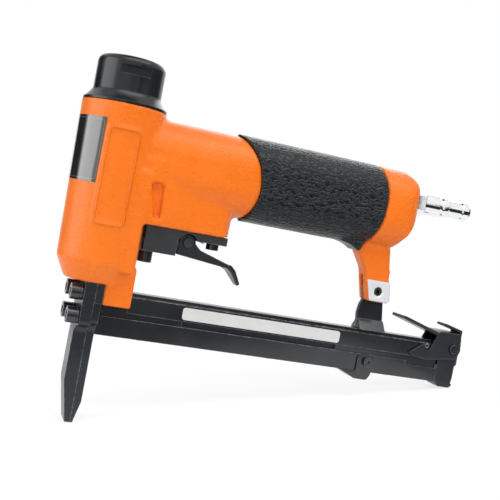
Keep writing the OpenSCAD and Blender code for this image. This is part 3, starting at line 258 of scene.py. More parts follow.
# %% [markdown]
# Photographers hang dark cards where bright metal and gloss would mirror nothing but white. Cards stand
# behind the camera, to the right, and behind on the left, one lies on the table in front of the tool, and
# two hang overhead. The faces that look at a card turn deep black, and the plated plug gets its dark
# streaks. Only mirrored rays see the cards. Each is given by its four corners.

# %% Dark cards
BEHIND_CAMERA = -1.25
OVERHEAD = 1.2
ABOVE_TABLE = Vector((0, 0, 0.003))


def standing(x0, x1, z0, z1):
    """Corners of a card that stands behind the camera."""
    return [(x, BEHIND_CAMERA, z) for x, z in ((x0, z0), (x1, z0), (x1, z1), (x0, z1))]


def hanging(x0, x1, y0, y1):
    """Corners of a card that hangs level over the tool."""
    return [(x, y, OVERHEAD) for x, y in ((x0, y0), (x1, y0), (x1, y1), (x0, y1))]


CARDS = {
    "card_front": standing(-0.3, 0.25, -0.15, 0.17),
    "card_middle": standing(0.25, 0.62, 0.11, 0.17),
    "card_beside": standing(0.62, 1.4, -0.15, 0.17),
    "card_high": standing(-0.12, 0.87, 0.17, 0.36),
    "card_tall": standing(0.5, 0.87, 0.36, 0.7),
    "card_table": [Vector(floor_point(x, y)) + ABOVE_TABLE
                   for x, y in ((-0.5, -0.5), (0.9, -0.5), (0.9, -0.15), (-0.5, -0.15))],
    "card_corner": standing(0.934, 1.4, 0.17, 0.5),
    "card_right": ((1.4, -1.25, -0.05), (1.4, 0.8, -0.05), (1.4, 0.8, 0.5), (1.4, -1.25, 0.5)),
    "card_left": ((-0.9, 0.42, -0.1), (-0.36, 0.95, -0.1), (-0.36, 0.95, 0.7), (-0.9, 0.42, 0.7)),
    "card_cap": hanging(-0.3, 0.28, -0.1, 0.42),
    "card_over": hanging(-0.8, 1.8, 0.42, 0.54),
}
felt = bpy.data.materials.new("black_felt")
felt.use_nodes = True
tree = felt.node_tree
tree.nodes.clear()
cloth = add(tree, "ShaderNodeBsdfDiffuse")
cloth.inputs["Color"].default_value = (0.02, 0.02, 0.02, 1)
wire(tree, cloth.outputs[0], add(tree, "ShaderNodeOutputMaterial").inputs["Surface"])
for name, corners in CARDS.items():
    card = stage_plane(name, corners)
    card.data.materials.append(felt)
    card.visible_camera = False
    card.visible_diffuse = False
    card.visible_shadow = False
print("cards:", len(CARDS))

# %% [markdown]
# ## Shared surface effects
# Paint, black coatings and steel all change a little over a surface: speckles, smudges, and bright edges
# that are partly rubbed wear and partly painted highlight. Each effect is one node group with named
# sockets, so every finish places the same group with its own values. The groups read Object coordinates
# in metres, so their scales are real.


# %% Helpers for node groups
def new_group(name, inputs, outputs):
    """A shader node group. inputs and outputs are (name, kind, default) and (name, kind)."""
    group = bpy.data.node_groups.new(name, "ShaderNodeTree")
    for label, kind, default in inputs:
        socket = group.interface.new_socket(name=label, in_out="INPUT", socket_type="NodeSocket" + kind)
        if default is not None:
            socket.default_value = default
    for label, kind in outputs:
        group.interface.new_socket(name=label, in_out="OUTPUT", socket_type="NodeSocket" + kind)
    return group, add(group, "NodeGroupInput"), add(group, "NodeGroupOutput")


def noise(tree, vector, scale, detail, rough):
    """A Noise texture whose scale is a socket or a number. Returns its value."""
    node = add(tree, "ShaderNodeTexNoise")
    wire(tree, vector, node.inputs["Vector"])
    if isinstance(scale, bpy.types.NodeSocket):
        wire(tree, scale, node.inputs["Scale"])
    else:
        node.inputs["Scale"].default_value = scale
    node.inputs["Detail"].default_value = detail
    node.inputs["Roughness"].default_value = rough
    return node.outputs["Fac"]


def ramp(tree, value, low, high):
    """Stretches a value so that low becomes 0 and high becomes 1."""
    node = add(tree, "ShaderNodeMapRange", clamp=True)
    wire(tree, value, node.inputs["Value"])
    for label, number in (("From Min", low), ("From Max", high)):
        if isinstance(number, bpy.types.NodeSocket):
            wire(tree, number, node.inputs[label])
        else:
            node.inputs[label].default_value = number
    return node.outputs["Result"]


# %% Speckle: fine grain with a height, for coatings and castings
speckle_group, gin, gout = new_group(
    "speckle", [("Scale", "Float", 900.0), ("Blotch Scale", "Float", 60.0)],
    [("Height", "Float"), ("Mask", "Float")])
tree = speckle_group
place = add(tree, "ShaderNodeTexCoord").outputs["Object"]
fine = noise(tree, place, gin.outputs["Scale"], 2.0, 0.6)
coarse = noise(tree, place, gin.outputs["Blotch Scale"], 4.0, 0.6)
wire(tree, fine, gout.inputs["Height"])
wire(tree, ramp(tree, coarse, 0.35, 0.68), gout.inputs["Mask"])
print("group:", speckle_group.name)

# %% Edge wear and painted highlight: a mask of the convex edges, broken up by noise
wear_and_highlight_group, gin, gout = new_group(
    "edge_wear_and_highlight", [("Radius", "Float", 0.0006), ("Amount", "Float", 0.5)],
    [("Mask", "Float"), ("Normal", "Vector")])
tree = wear_and_highlight_group
bevel = add(tree, "ShaderNodeBevel", samples=6)
wire(tree, gin.outputs["Radius"], bevel.inputs["Radius"])
plain = add(tree, "ShaderNodeNewGeometry")
dot = add(tree, "ShaderNodeVectorMath", operation="DOT_PRODUCT")
wire(tree, bevel.outputs[0], dot.inputs[0])
wire(tree, plain.outputs["Normal"], dot.inputs[1])
edge = ramp(tree, math_node(tree, "SUBTRACT", 1.0, dot.outputs["Value"]), 0.01, 0.16)
place = add(tree, "ShaderNodeTexCoord").outputs["Object"]
broken = ramp(tree, noise(tree, place, 350.0, 4.0, 0.65), 0.38, 0.62)
edge = math_node(tree, "MULTIPLY", edge, broken)
wire(tree, math_node(tree, "MULTIPLY", edge, gin.outputs["Amount"], clamp=True), gout.inputs["Mask"])
wire(tree, bevel.outputs[0], gout.inputs["Normal"])
print("group:", wear_and_highlight_group.name)

# %% Smudge: slow changes of gloss, as from handling
smudge_group, gin, gout = new_group(
    "smudge", [("Low", "Float", 0.3), ("High", "Float", 0.45), ("Scale", "Float", 45.0)],
    [("Roughness", "Float")])
tree = smudge_group
place = add(tree, "ShaderNodeTexCoord").outputs["Object"]
cloud = ramp(tree, noise(tree, place, gin.outputs["Scale"], 5.0, 0.62), 0.3, 0.7)
span = math_node(tree, "SUBTRACT", gin.outputs["High"], gin.outputs["Low"])
rough = math_node(tree, "ADD", gin.outputs["Low"], math_node(tree, "MULTIPLY", cloud, span))
wire(tree, rough, gout.inputs["Roughness"])
print("group:", smudge_group.name)

# %% Outline: distance from the line of a rectangle with rounded corners
outline_group, gin, gout = new_group(
    "outline", [("Across", "Float", 0.0), ("Along", "Float", 0.0), ("Half Across", "Float", 0.01),
                ("Half Along", "Float", 0.01), ("Corner", "Float", 0.002)],
    [("Distance", "Float")])
tree = outline_group
pair = add(tree, "ShaderNodeCombineXYZ")
for socket, label in zip(pair.inputs, ("Across", "Along")):
    inner = math_node(tree, "SUBTRACT", gin.outputs["Half " + label], gin.outputs["Corner"])
    over = math_node(tree, "SUBTRACT", math_node(tree, "ABSOLUTE", gin.outputs[label]), inner)
    wire(tree, math_node(tree, "MAXIMUM", over, 0.0), socket)
far = add(tree, "ShaderNodeVectorMath", operation="LENGTH")
wire(tree, pair.outputs[0], far.inputs[0])
off = math_node(tree, "SUBTRACT", far.outputs["Value"], gin.outputs["Corner"])
wire(tree, math_node(tree, "ABSOLUTE", off), gout.inputs["Distance"])
print("groups:", [g.name for g in bpy.data.node_groups])


# %% [markdown]
# ## Finishes
# A finish is one material: a Principled shader whose colour, roughness and bump come from the shared
# groups. The plain numbers that don't change over a surface, such as metallic or coat, are set on the
# shader itself.


# %% Helpers for finishes
def finish(name, metallic=0.0, coat=0.0, coat_rough=0.1, specular=0.5):
    """A new material with a Principled shader. Returns the material, its tree and the shader."""
    mat = bpy.data.materials.new(name)
    mat.use_nodes = True
    tree = mat.node_tree
    tree.nodes.clear()
    shader = add(tree, "ShaderNodeBsdfPrincipled")
    shader.inputs["Metallic"].default_value = metallic
    shader.inputs["Coat Weight"].default_value = coat
    shader.inputs["Coat Roughness"].default_value = coat_rough
    shader.inputs["Specular IOR Level"].default_value = specular
    wire(tree, shader.outputs[0], add(tree, "ShaderNodeOutputMaterial").inputs["Surface"])
    return mat, tree, shader


def place_group(tree, group, **values):
    """Places a node group. An underscore in a value's name stands for a space."""
    node = add(tree, "ShaderNodeGroup")
    node.node_tree = group
    for key, value in values.items():
        node.inputs[key.replace("_", " ")].default_value = value
    return node


def blend_colour(tree, factor, a, b):
    """Mixes two colours, each a socket or a triple, by a factor socket."""
    node = add(tree, "ShaderNodeMix", data_type="RGBA")
    wire(tree, factor, node.inputs["Factor"])
    for socket, value in ((node.inputs[6], a), (node.inputs[7], b)):
        if isinstance(value, bpy.types.NodeSocket):
            wire(tree, value, socket)
        else:
            socket.default_value = (*value, 1)
    return node.outputs[2]


def bump(tree, shader, height, distance, normal=None):
    """Bumps a shader by a height socket. distance is the depth in metres."""
    node = add(tree, "ShaderNodeBump")
    node.inputs["Distance"].default_value = distance
    node.inputs["Strength"].default_value = 1.0
    wire(tree, height, node.inputs["Height"])
    if normal is not None:
        wire(tree, normal, node.inputs["Normal"])
    wire(tree, node.outputs[0], shader.inputs["Normal"])


# %% One recipe for coatings and metals
BLOTCH_SCALE = 70.0
SMUDGE_SCALE = 40.0
EDGE_RADIUS = 0.0005


def coated(name, base, blotch, worn_or_lit_edge, wear_and_highlight_amount, rough, grain, grain_depth, metallic=0.0, specular=0.5):
    """A coating or a metal: blotched colour, bright edges of rubbed wear and painted highlight, smudged
    gloss and fine grain.
    """
    mat, tree, shader = finish(name, metallic, specular=specular)
    speckle = place_group(tree, speckle_group, Scale=grain, Blotch_Scale=BLOTCH_SCALE)
    edges = place_group(tree, wear_and_highlight_group, Radius=EDGE_RADIUS, Amount=wear_and_highlight_amount)
    gloss = place_group(tree, smudge_group, Low=rough[0], High=rough[1], Scale=SMUDGE_SCALE)
    colour = blend_colour(tree, speckle.outputs["Mask"], base, blotch)
    # The pale edge colour is partly rubbed wear and partly a painted highlight on edges that catch the
    # light.
    colour = blend_colour(tree, edges.outputs["Mask"], colour, worn_or_lit_edge)
    wire(tree, colour, shader.inputs["Base Color"])
    wire(tree, gloss.outputs["Roughness"], shader.inputs["Roughness"])
    bump(tree, shader, speckle.outputs["Height"], grain_depth, edges.outputs["Normal"])
    return mat


# %% Coatings and metals
finishes = {
    "gloss_black": coated("gloss_black_cap", (0.0075, 0.009, 0.0105), (0.010, 0.012, 0.014),
                          (0.05, 0.055, 0.06), 0.3, (0.2, 0.28), 500.0, 0.00001, specular=0.4),
    # The pale edges of the black steel at full amount are mostly a painted highlight along the sheet's
    # edges.
    "black_steel": coated("satin_black_coating", (0.010, 0.0115, 0.014), (0.014, 0.016, 0.019),
                          (0.38, 0.40, 0.43), 1.0, (0.16, 0.25), 1500.0, 0.00001, specular=0.8),
    "dark_steel": coated("dark_phosphate_steel", (0.019, 0.022, 0.027), (0.026, 0.030, 0.036),
                         (0.34, 0.36, 0.38), 0.8, (0.25, 0.36), 1300.0, 0.00001, metallic=0.25),
    "bright_steel": coated("bright_ground_steel", (0.56, 0.57, 0.59), (0.48, 0.49, 0.51),
                           (0.75, 0.76, 0.78), 0.4, (0.22, 0.34), 1800.0, 0.00001, metallic=1.0),
    "chrome_plate": coated("bright_chrome", (0.88, 0.89, 0.90), (0.82, 0.83, 0.85),
                           (0.85, 0.86, 0.87), 0.2, (0.05, 0.1), 900.0, 0.000004, metallic=1.0),
    "alloy": coated("machined_alloy", (0.62, 0.63, 0.64), (0.54, 0.55, 0.56),
                    (0.75, 0.76, 0.77), 0.3, (0.28, 0.4), 1500.0, 0.00001, metallic=1.0),
    "brass": coated("turned_brass", (0.62, 0.44, 0.16), (0.52, 0.36, 0.13),
                    (0.8, 0.62, 0.3), 0.3, (0.25, 0.36), 1500.0, 0.00001, metallic=1.0),
    "seal_rubber": coated("smooth_seal_rubber", (0.014, 0.014, 0.015), (0.02, 0.02, 0.021),
                          (0.04, 0.04, 0.042), 0.2, (0.5, 0.62), 1200.0, 0.00002),
    "valve_plastic": coated("moulded_valve_plastic", (0.62, 0.60, 0.52), (0.56, 0.54, 0.47),
                            (0.72, 0.70, 0.62), 0.2, (0.4, 0.5), 900.0, 0.00002),
}
print("finishes:", sorted(finishes))

# %% [markdown]
# ## Paint, rubber and labels
# The alloy casting is sprayed with a thick gloss enamel. The spray dries with a faint orange-peel
# surface, and a seam runs where the two halves of the mould met. The side faces of the rear lug are
# milled after painting, so they are bare metal. A position mask marks those faces. The raised panel
# frame on the cylinder is crisper than the net of the skin can draw it, so its line is added as bump.
# Hollows that ambient occlusion finds are painted a deeper red, as painted shade.


# %% Position masks
def position(tree):
    """The Object coordinates as three separate sockets."""
    split = add(tree, "ShaderNodeSeparateXYZ")
    wire(tree, add(tree, "ShaderNodeTexCoord").outputs["Object"], split.inputs[0])
    return split.outputs


# %% Enamel
PAINT = (0.92, 0.190, 0.009)
PAINT_DEEP = (0.87, 0.168, 0.006)
HOLLOW_PAINTED_SHADE = (0.72, 0.07, 0.002)
MILLED = (0.80, 0.82, 0.84)
LUG_FRONT = 150.0 * MM
LUG_TOP = 100.7 * MM
LUG_SIDE = 5.6 * MM
PANEL_X = -1.0 * MM
PANEL_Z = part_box("body_casting")[1][2] - 37.2 * MM
PANEL_HALF = (7.7 * MM, 24.4 * MM)
PANEL_CORNER = 2.2 * MM
PANEL_SIDE = 15.0 * MM
PAINT_COAT = 0.15
BARE_METALLIC = 0.3
BARE_ROUGHER = 0.15
HOLLOW_REACH = 5.0 * MM
SEAM_HALF = (0.15 * MM, 0.4 * MM)
SEAM_HEIGHT = 0.3
FRAME_HALF = (0.3 * MM, 1.0 * MM)
PAINT_DEPTH = 0.0005

mat, tree, shader = finish("orange_enamel", coat_rough=0.12, specular=0.3)
x, y, z = position(tree)
out = math_node(tree, "ABSOLUTE", y)
bare = math_node(tree, "MULTIPLY", math_node(tree, "GREATER_THAN", x, LUG_FRONT),
                 math_node(tree, "LESS_THAN", z, LUG_TOP))
bare = math_node(tree, "MULTIPLY", bare, math_node(tree, "GREATER_THAN", out, LUG_SIDE))
speckle = place_group(tree, speckle_group, Scale=950.0, Blotch_Scale=30.0)
gloss = place_group(tree, smudge_group, Low=0.24, High=0.34, Scale=35.0)
colour = blend_colour(tree, speckle.outputs["Mask"], PAINT, PAINT_DEEP)
# Painted shade: hollows that ambient occlusion finds within HOLLOW_REACH turn a deeper red.
cavity = add(tree, "ShaderNodeAmbientOcclusion", samples=6, only_local=True)
cavity.inputs["Distance"].default_value = HOLLOW_REACH
hollow_shade = math_node(tree, "SUBTRACT", 1.0, ramp(tree, cavity.outputs["AO"], 0.3, 0.8))
colour = blend_colour(tree, hollow_shade, colour, HOLLOW_PAINTED_SHADE)
wire(tree, blend_colour(tree, bare, colour, MILLED), shader.inputs["Base Color"])
painted = math_node(tree, "SUBTRACT", 1.0, bare)
wire(tree, math_node(tree, "MULTIPLY", bare, BARE_METALLIC), shader.inputs["Metallic"])
wire(tree, math_node(tree, "MULTIPLY", painted, PAINT_COAT), shader.inputs["Coat Weight"])
rougher = math_node(tree, "MULTIPLY", bare, BARE_ROUGHER)
wire(tree, math_node(tree, "ADD", gloss.outputs["Roughness"], rougher), shader.inputs["Roughness"])
seam = math_node(tree, "SUBTRACT", 1.0, ramp(tree, out, *SEAM_HALF))
border = place_group(tree, outline_group, Half_Across=PANEL_HALF[0], Half_Along=PANEL_HALF[1],
                     Corner=PANEL_CORNER)
wire(tree, math_node(tree, "SUBTRACT", x, PANEL_X), border.inputs["Across"])
wire(tree, math_node(tree, "SUBTRACT", z, PANEL_Z), border.inputs["Along"])
raised = math_node(tree, "SUBTRACT", 1.0, ramp(tree, border.outputs["Distance"], *FRAME_HALF))
raised = math_node(tree, "MULTIPLY", raised, math_node(tree, "GREATER_THAN", out, PANEL_SIDE))
height = math_node(tree, "ADD", speckle.outputs["Height"], math_node(tree, "MULTIPLY", seam, SEAM_HEIGHT))
height = math_node(tree, "ADD", height, raised)
bump(tree, shader, math_node(tree, "MULTIPLY", height, painted), PAINT_DEPTH)
finishes["orange_paint"] = mat

# %% [markdown]
# The rubber of the grip is moulded with a leather grain of winding raised wrinkles that run along the
# handle. Waves measured round the handle's arc, bent hard by noise, wind in the same way. Both ends of
# the arc meet under the handle, where the mould of such a sleeve closes.

# %% Rubber of the grip
GRIP_Z = 142.8 * MM
GRIP_R = 19.0 * MM
WRINKLE = 2.0 * MM
WRINKLE_STRETCH = 0.8
WRINKLE_DEPTH = 0.00032
# The ridges are painted lighter and the grooves darker than the rubber itself: painted highlight on the
# wrinkle tops and painted shade between them.
GROOVE_PAINTED_SHADE = (0.006, 0.0075, 0.009)
RIDGE_PAINTED_HIGHLIGHT = (0.022, 0.0265, 0.030)
mat, tree, shader = finish("grained_grip_rubber", specular=0.3)
x, y, z = position(tree)
round_angle = math_node(tree, "ARCTAN2", y, math_node(tree, "SUBTRACT", z, GRIP_Z))
unrolled = add(tree, "ShaderNodeCombineXYZ")
wire(tree, math_node(tree, "MULTIPLY", x, WRINKLE_STRETCH), unrolled.inputs[0])
wire(tree, math_node(tree, "MULTIPLY", round_angle, GRIP_R), unrolled.inputs[1])
winding = add(tree, "ShaderNodeTexWave", bands_direction="Y")
wire(tree, unrolled.outputs[0], winding.inputs["Vector"])
winding.inputs["Scale"].default_value = math.pi / 10 / WRINKLE
winding.inputs["Distortion"].default_value = 8.5
winding.inputs["Detail"].default_value = 1.0
winding.inputs["Detail Scale"].default_value = 2.2
ridge = ramp(tree, winding.outputs["Fac"], 0.15, 0.95)
speckle = place_group(tree, speckle_group, Scale=2200.0, Blotch_Scale=55.0)
gloss = place_group(tree, smudge_group, Low=0.26, High=0.34, Scale=50.0)
wire(tree, blend_colour(tree, ridge, GROOVE_PAINTED_SHADE, RIDGE_PAINTED_HIGHLIGHT), shader.inputs["Base Color"])
wire(tree, gloss.outputs["Roughness"], shader.inputs["Roughness"])
grain = math_node(tree, "ADD", ridge, math_node(tree, "MULTIPLY", speckle.outputs["Height"], 0.2))
bump(tree, shader, grain, WRINKLE_DEPTH)
finishes["grip_rubber"] = mat

# %% Labels
LABEL_GRAIN = 0.000004
mat, tree, shader = finish("plain_white_label", coat=0.3)
speckle = place_group(tree, speckle_group, Scale=1500.0, Blotch_Scale=80.0)
gloss = place_group(tree, smudge_group, Low=0.3, High=0.42, Scale=60.0)
wire(tree, blend_colour(tree, speckle.outputs["Mask"], (0.68, 0.68, 0.67), (0.63, 0.63, 0.62)),
     shader.inputs["Base Color"])
wire(tree, gloss.outputs["Roughness"], shader.inputs["Roughness"])
bump(tree, shader, speckle.outputs["Height"], LABEL_GRAIN)
finishes["label_white"] = mat

# %% [markdown]
# The wrap label is a black film under a clear gloss layer. It carries no print. A thin pale line runs
# inside its edges, measured along the arc of the cylinder so that it bends with the label.

# %% Wrap label
WRAP_R = 22.0 * MM
LINE_MID = 141.5 * MM
LINE_HALF = (22.6 * MM, 15.2 * MM)
LINE_CORNER = 2.0 * MM
LINE_WIDTH = 0.35 * MM
mat, tree, shader = finish("wrap_label_film", coat=1.0, coat_rough=0.05, specular=0.8)
x, y, z = position(tree)
out = math_node(tree, "ABSOLUTE", y)
forward = math_node(tree, "MULTIPLY", x, -1.0)
arc = math_node(tree, "MULTIPLY", math_node(tree, "ARCTAN2", out, forward), WRAP_R)
border = place_group(tree, outline_group, Half_Across=LINE_HALF[0], Half_Along=LINE_HALF[1],
                     Corner=LINE_CORNER)
wire(tree, arc, border.inputs["Across"])
wire(tree, math_node(tree, "SUBTRACT", z, LINE_MID), border.inputs["Along"])
line = math_node(tree, "LESS_THAN", border.outputs["Distance"], LINE_WIDTH / 2)
speckle = place_group(tree, speckle_group, Scale=1500.0, Blotch_Scale=70.0)
gloss = place_group(tree, smudge_group, Low=0.12, High=0.2, Scale=50.0)
black = blend_colour(tree, speckle.outputs["Mask"], (0.010, 0.010, 0.011), (0.015, 0.015, 0.016))
wire(tree, blend_colour(tree, line, black, (0.10, 0.10, 0.10)), shader.inputs["Base Color"])
wire(tree, gloss.outputs["Roughness"], shader.inputs["Roughness"])
bump(tree, shader, speckle.outputs["Height"], LABEL_GRAIN)
finishes["label_grey"] = mat
print("finishes:", sorted(finishes))

# %% [markdown]
# ## Every CAD solid gets its finish
# The record names a slot for each solid. Solids that a fuller piece stands for later are hidden then.

# %% Finishes on the CAD solids
for name, solid in nodes.items():
    solid.data.materials.clear()
    solid.data.materials.append(finishes[slot_of_node[name]])
print("slots:", sorted(set(slot_of_node.values())))

# %% [markdown]
# ## Making pieces
# Each piece starts as a copy of a solid with its doubled corners merged, or as a new shape. It then
# becomes an object that rides on the same body as the solid that it stands for.


# %% Helpers for pieces
def from_node(node):
    """A copy of a CAD solid as an editable shape, with its doubled corners merged."""
    shape = bmesh.new()
    shape.from_mesh(nodes[node].data)
    bmesh.ops.remove_doubles(shape, verts=shape.verts, dist=1e-6)
    bmesh.ops.recalc_face_normals(shape, faces=shape.faces)
    return shape


def make_piece(name, shape, node, smooth=35, body=None):
    """Makes an object of a shape. It takes the node's place, finish and body."""
    mesh = bpy.data.meshes.new(name)
    shape.to_mesh(mesh)
    shape.free()
    mesh.polygons.foreach_set("use_smooth", [True] * len(mesh.polygons))
    mesh.set_sharp_from_angle(angle=math.radians(smooth))
    mesh.materials.append(finishes[slot_of_node[node]])
    piece = bpy.data.objects.new(name, mesh)
    scene.collection.objects.link(piece)
    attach(piece, body or body_of_node[node])
    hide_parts(node)
    return piece


def even_mesh(shape, voxel):
    """Rebuilds a closed shape as an even net of small squares. It rounds sharp edges a little."""
    mesh = bpy.data.meshes.new("blank")
    shape.to_mesh(mesh)
    shape.free()
    blank = bpy.data.objects.new("blank", mesh)
    scene.collection.objects.link(blank)
    net = blank.modifiers.new("even", "REMESH")
    net.mode = "VOXEL"
    net.voxel_size = voxel
    seen = blank.evaluated_get(bpy.context.evaluated_depsgraph_get())
    even = bmesh.new()
    even.from_mesh(seen.to_mesh())
    seen.to_mesh_clear()
    bpy.data.objects.remove(blank)
    bpy.data.meshes.remove(mesh)
    return even


def relax(shape, verts, passes):
    """Moves corners halfway toward the middle of their neighbours, a number of times."""
    for _ in range(passes):
        bmesh.ops.smooth_vert(shape, verts=verts, factor=0.5,
                              use_axis_x=True, use_axis_y=True, use_axis_z=True)


# %% [markdown]
# ## Cast body
# The body is one aluminium casting: cylinder, handle tube, trigger block and rear leg. In a mould metal
# can't form a sharp inner corner, so every junction has a soft fillet. Rebuilding the solid as an even
# net and relaxing the hollow corners gives those fillets, and leaves machined faces alone. The rear
# head is relaxed all over, since its round sides flow into its round end.

# %% Casting skin
CAST_VOXEL = 0.92 * MM
CHAMBER_R = 19.2 * MM
CHAMBER_FLOOR = 76 * MM
TUBE_R = 13.2 * MM
TUBE_ENDS = (20 * MM, 168 * MM)
NOSE_FACE = 75.2 * MM
CAP_FACE_DEPTH = 0.6 * MM
LUG_SHOULDER = 101.5 * MM
HEAD_MID = Vector((146.6, 0, 144.0)) * MM
HEAD_FRONT = 153 * MM
HEAD_LOW = 121 * MM
COVER_TILT = math.radians(30.7)
COVER_OUT = Vector((math.cos(COVER_TILT), 0, -math.sin(COVER_TILT)))
COVER_FLAT = 26.6 * MM
PLUG_Z = 150 * MM
PLUG_SEAT_R = 10.6 * MM
PLUG_SEAT_X = 170 * MM
skin = even_mesh(from_node("body_casting"), CAST_VOXEL)
body_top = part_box("body_casting")[1][2]


def is_cast(p):
    """True on as-cast outer surfaces, false in bores and on machined faces."""
    in_bore = math.hypot(p.x, p.y) < CHAMBER_R and p.z > CHAMBER_FLOOR
    in_tube = math.hypot(p.y, p.z - GRIP_Z) < TUBE_R and TUBE_ENDS[0] < p.x < TUBE_ENDS[1]
    machined = p.z > body_top - CAP_FACE_DEPTH or p.z < NOSE_FACE
    lug = p.x > LUG_FRONT and p.z < LUG_SHOULDER
    return not (in_bore or in_tube or machined or lug)


def on_head(p):
    """True on the rounded rear head, but not round the plug's seat or on the cover's flat."""
    past_cover = (p - HEAD_MID).dot(COVER_OUT) > COVER_FLAT
    at_plug = math.hypot(p.y, p.z - PLUG_Z) < PLUG_SEAT_R and p.x > PLUG_SEAT_X
    return p.x > HEAD_FRONT and p.z > HEAD_LOW and not past_cover and not at_plug


# %% Soft corners of the casting
PANEL_BACK = 15 * MM
PANEL_FOOT = 90 * MM
COLLAR_X = 17.5 * MM
RIB_X = (8 * MM, 28 * MM)
RIB_TOP = 133 * MM
RIB_Y = 10 * MM
HOLLOW_PULL = 0.05 * CAST_VOXEL
HOLLOW_GROWTH = 3
HOLLOW_RELAX = 20
HEAD_RELAX = 28


def by_rib(p):
    """True near the ribs beside the trigger, which stay crisp."""
    return p.x < RIB_X[1] and p.z < RIB_TOP


cast = [v for v in skin.verts if is_cast(v.co)]
relax(skin, cast, 1)
relax(skin, [v for v in cast if v.co.x > PANEL_BACK or v.co.z < PANEL_FOOT], 2)
skin.normal_update()
hollow = set()
for v in cast:
    pull = sum((e.other_vert(v).co - v.co).dot(v.normal) for e in v.link_edges) / len(v.link_edges)
    rib = by_rib(v.co) and v.co.x > RIB_X[0] and abs(v.co.y) > RIB_Y
    if pull > HOLLOW_PULL and v.co.x > COLLAR_X and not rib:
        hollow.add(v)
for _ in range(HOLLOW_GROWTH):
    hollow |= {e.other_vert(v) for v in hollow for e in v.link_edges}
hollow = [v for v in hollow if is_cast(v.co) and not by_rib(v.co)]
relax(skin, hollow, HOLLOW_RELAX)
relax(skin, [v for v in cast if on_head(v.co)], HEAD_RELAX)
print("casting faces:", len(skin.faces), "softened corners:", len(hollow))
make_piece("casting_skin", skin, "body_casting", smooth=60)

# %% [markdown]
# ## Rubber grip
# The grip is a moulded rubber sleeve that is pulled over the handle. Its lips are rounded and its
# surface is slightly uneven, so the copy is rebuilt as an even net, relaxed, and pushed in and out by
# a slow wave of a tenth of a millimetre.

# %% Grip cover
GRIP_VOXEL = 0.7 * MM
GRIP_RELAX = 6
SWELL_SCALE = 160.0
SWELL = 0.08 * MM
PLUMP = 0.12 * MM
grip = even_mesh(from_node("grip_sleeve"), GRIP_VOXEL)
relax(grip, grip.verts, GRIP_RELAX)
grip.normal_update()
for v in grip.verts:
    v.co += v.normal * (SWELL * space_noise.noise(v.co * SWELL_SCALE) + PLUMP)
print("grip faces:", len(grip.faces))
make_piece("grip_cover", grip, "grip_sleeve", smooth=60)

# %% [markdown]
# ## Springs
# A spring is wound from round wire on a mandrel. Spinning a small circle round the axis while it climbs
# does the same. The first and last turns lie flat, as on springs that are ground to stand straight.


# %% Helpers for wire
def ring(shape, centre, out, along, radius, sides=10):
    """A circle of wire section. out points away from the axis and along is the axis."""
    verts = []
    for i in range(sides):
        a = 2 * math.pi * i / sides
        verts.append(shape.verts.new(centre + out * radius * math.cos(a) + along * radius * math.sin(a)))
    return verts + [shape.edges.new((verts[i], verts[(i + 1) % sides])) for i in range(sides)]


def turn_wire(shape, section, start, along, turns, climb, steps=28):
    """Winds a section about an axis. climb is the rise of all the turns together."""
    count = max(2, round(turns * steps))
    made = bmesh.ops.spin(shape, geom=section, cent=start, axis=along, dvec=along * (climb / count),
                          angle=2 * math.pi * turns, steps=count, use_merge=False)
    return made["geom_last"]


def close_end(shape, section):
    """Puts a flat cap on an end of the wire."""
    shape.faces.new([v for v in section if isinstance(v, bmesh.types.BMVert)])


def wound_spring(name, node, foot, along, length, radius, wire_r, turns):
    """A compression spring from foot along an axis, with one flat turn at each end, in millimetres."""
    shape = bmesh.new()
    foot, along = Vector(foot) * MM, Vector(along)
    out = along.orthogonal().normalized()
    first = ring(shape, foot + along * wire_r * MM + out * radius * MM, out, along, wire_r * MM)
    close_end(shape, first)
    flat = 2.1 * wire_r * MM
    middle = (length - 2 * wire_r) * MM - 2 * flat
    last = turn_wire(shape, first, foot, along, 1, flat)
    last = turn_wire(shape, last, foot, along, turns, middle)
    last = turn_wire(shape, last, foot, along, 1, flat)
    close_end(shape, last)
    bmesh.ops.remove_doubles(shape, verts=shape.verts, dist=1e-7)
    bmesh.ops.recalc_face_normals(shape, faces=shape.faces)
    print(name, "faces:", len(shape.faces))
    return make_piece(name, shape, node, smooth=60)


# %% Compression springs
ROD_Z = 67.3
VALVE_X = 61
LATCH_SPRING_X = 213.3

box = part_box("pusher_spring")
free = box[1][0] - box[0][0]
spring = wound_spring("pusher_spring_wire", "pusher_spring", (box[0][0] / MM, 0, ROD_Z), (1, 0, 0),
                      free / MM, 2.1, 0.3, 34)
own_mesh(spring)

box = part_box("head_valve_spring")
free = box[1][2] - box[0][2]
spring = wound_spring("head_valve_spring_wire", "head_valve_spring", (0, 0, box[0][2] / MM), (0, 0, 1),
                      free / MM, 6.4, 0.5, 3)
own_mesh(spring)

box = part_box("valve_spring")
free = box[1][2] - box[0][2]
spring = wound_spring("valve_spring_wire", "valve_spring", (VALVE_X, 0, box[0][2] / MM), (0, 0, 1),
                      free / MM, 2.95, 0.3, 3.5)
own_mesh(spring)

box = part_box("latch_spring")
free = box[1][2] - box[0][2]
spring = wound_spring("latch_spring_wire", "latch_spring", (LATCH_SPRING_X, 0, box[0][2] / MM), (0, 0, 1),
                      free / MM, 2.2, 0.3, 2)
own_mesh(spring)

# %% [markdown]
# The trigger spring is a torsion spring: two and a half turns round the pin and two straight legs, one
# under the bracket and one over the trigger. The legs leave the turns along their tangents. The lower
# leg is a piece of its own, because it turns with the trigger.

# %% Trigger spring
PIVOT = Vector((44.8, 0, 103.0)) * MM
TURN_R = 3.1 * MM
LEG_UP = Vector((11, 0, 0.8)) * MM
LEG_DOWN = Vector((11, 0, -5.4)) * MM
RISE = 2.5 * MM
TRIGGER_WIRE_R = 0.25 * MM


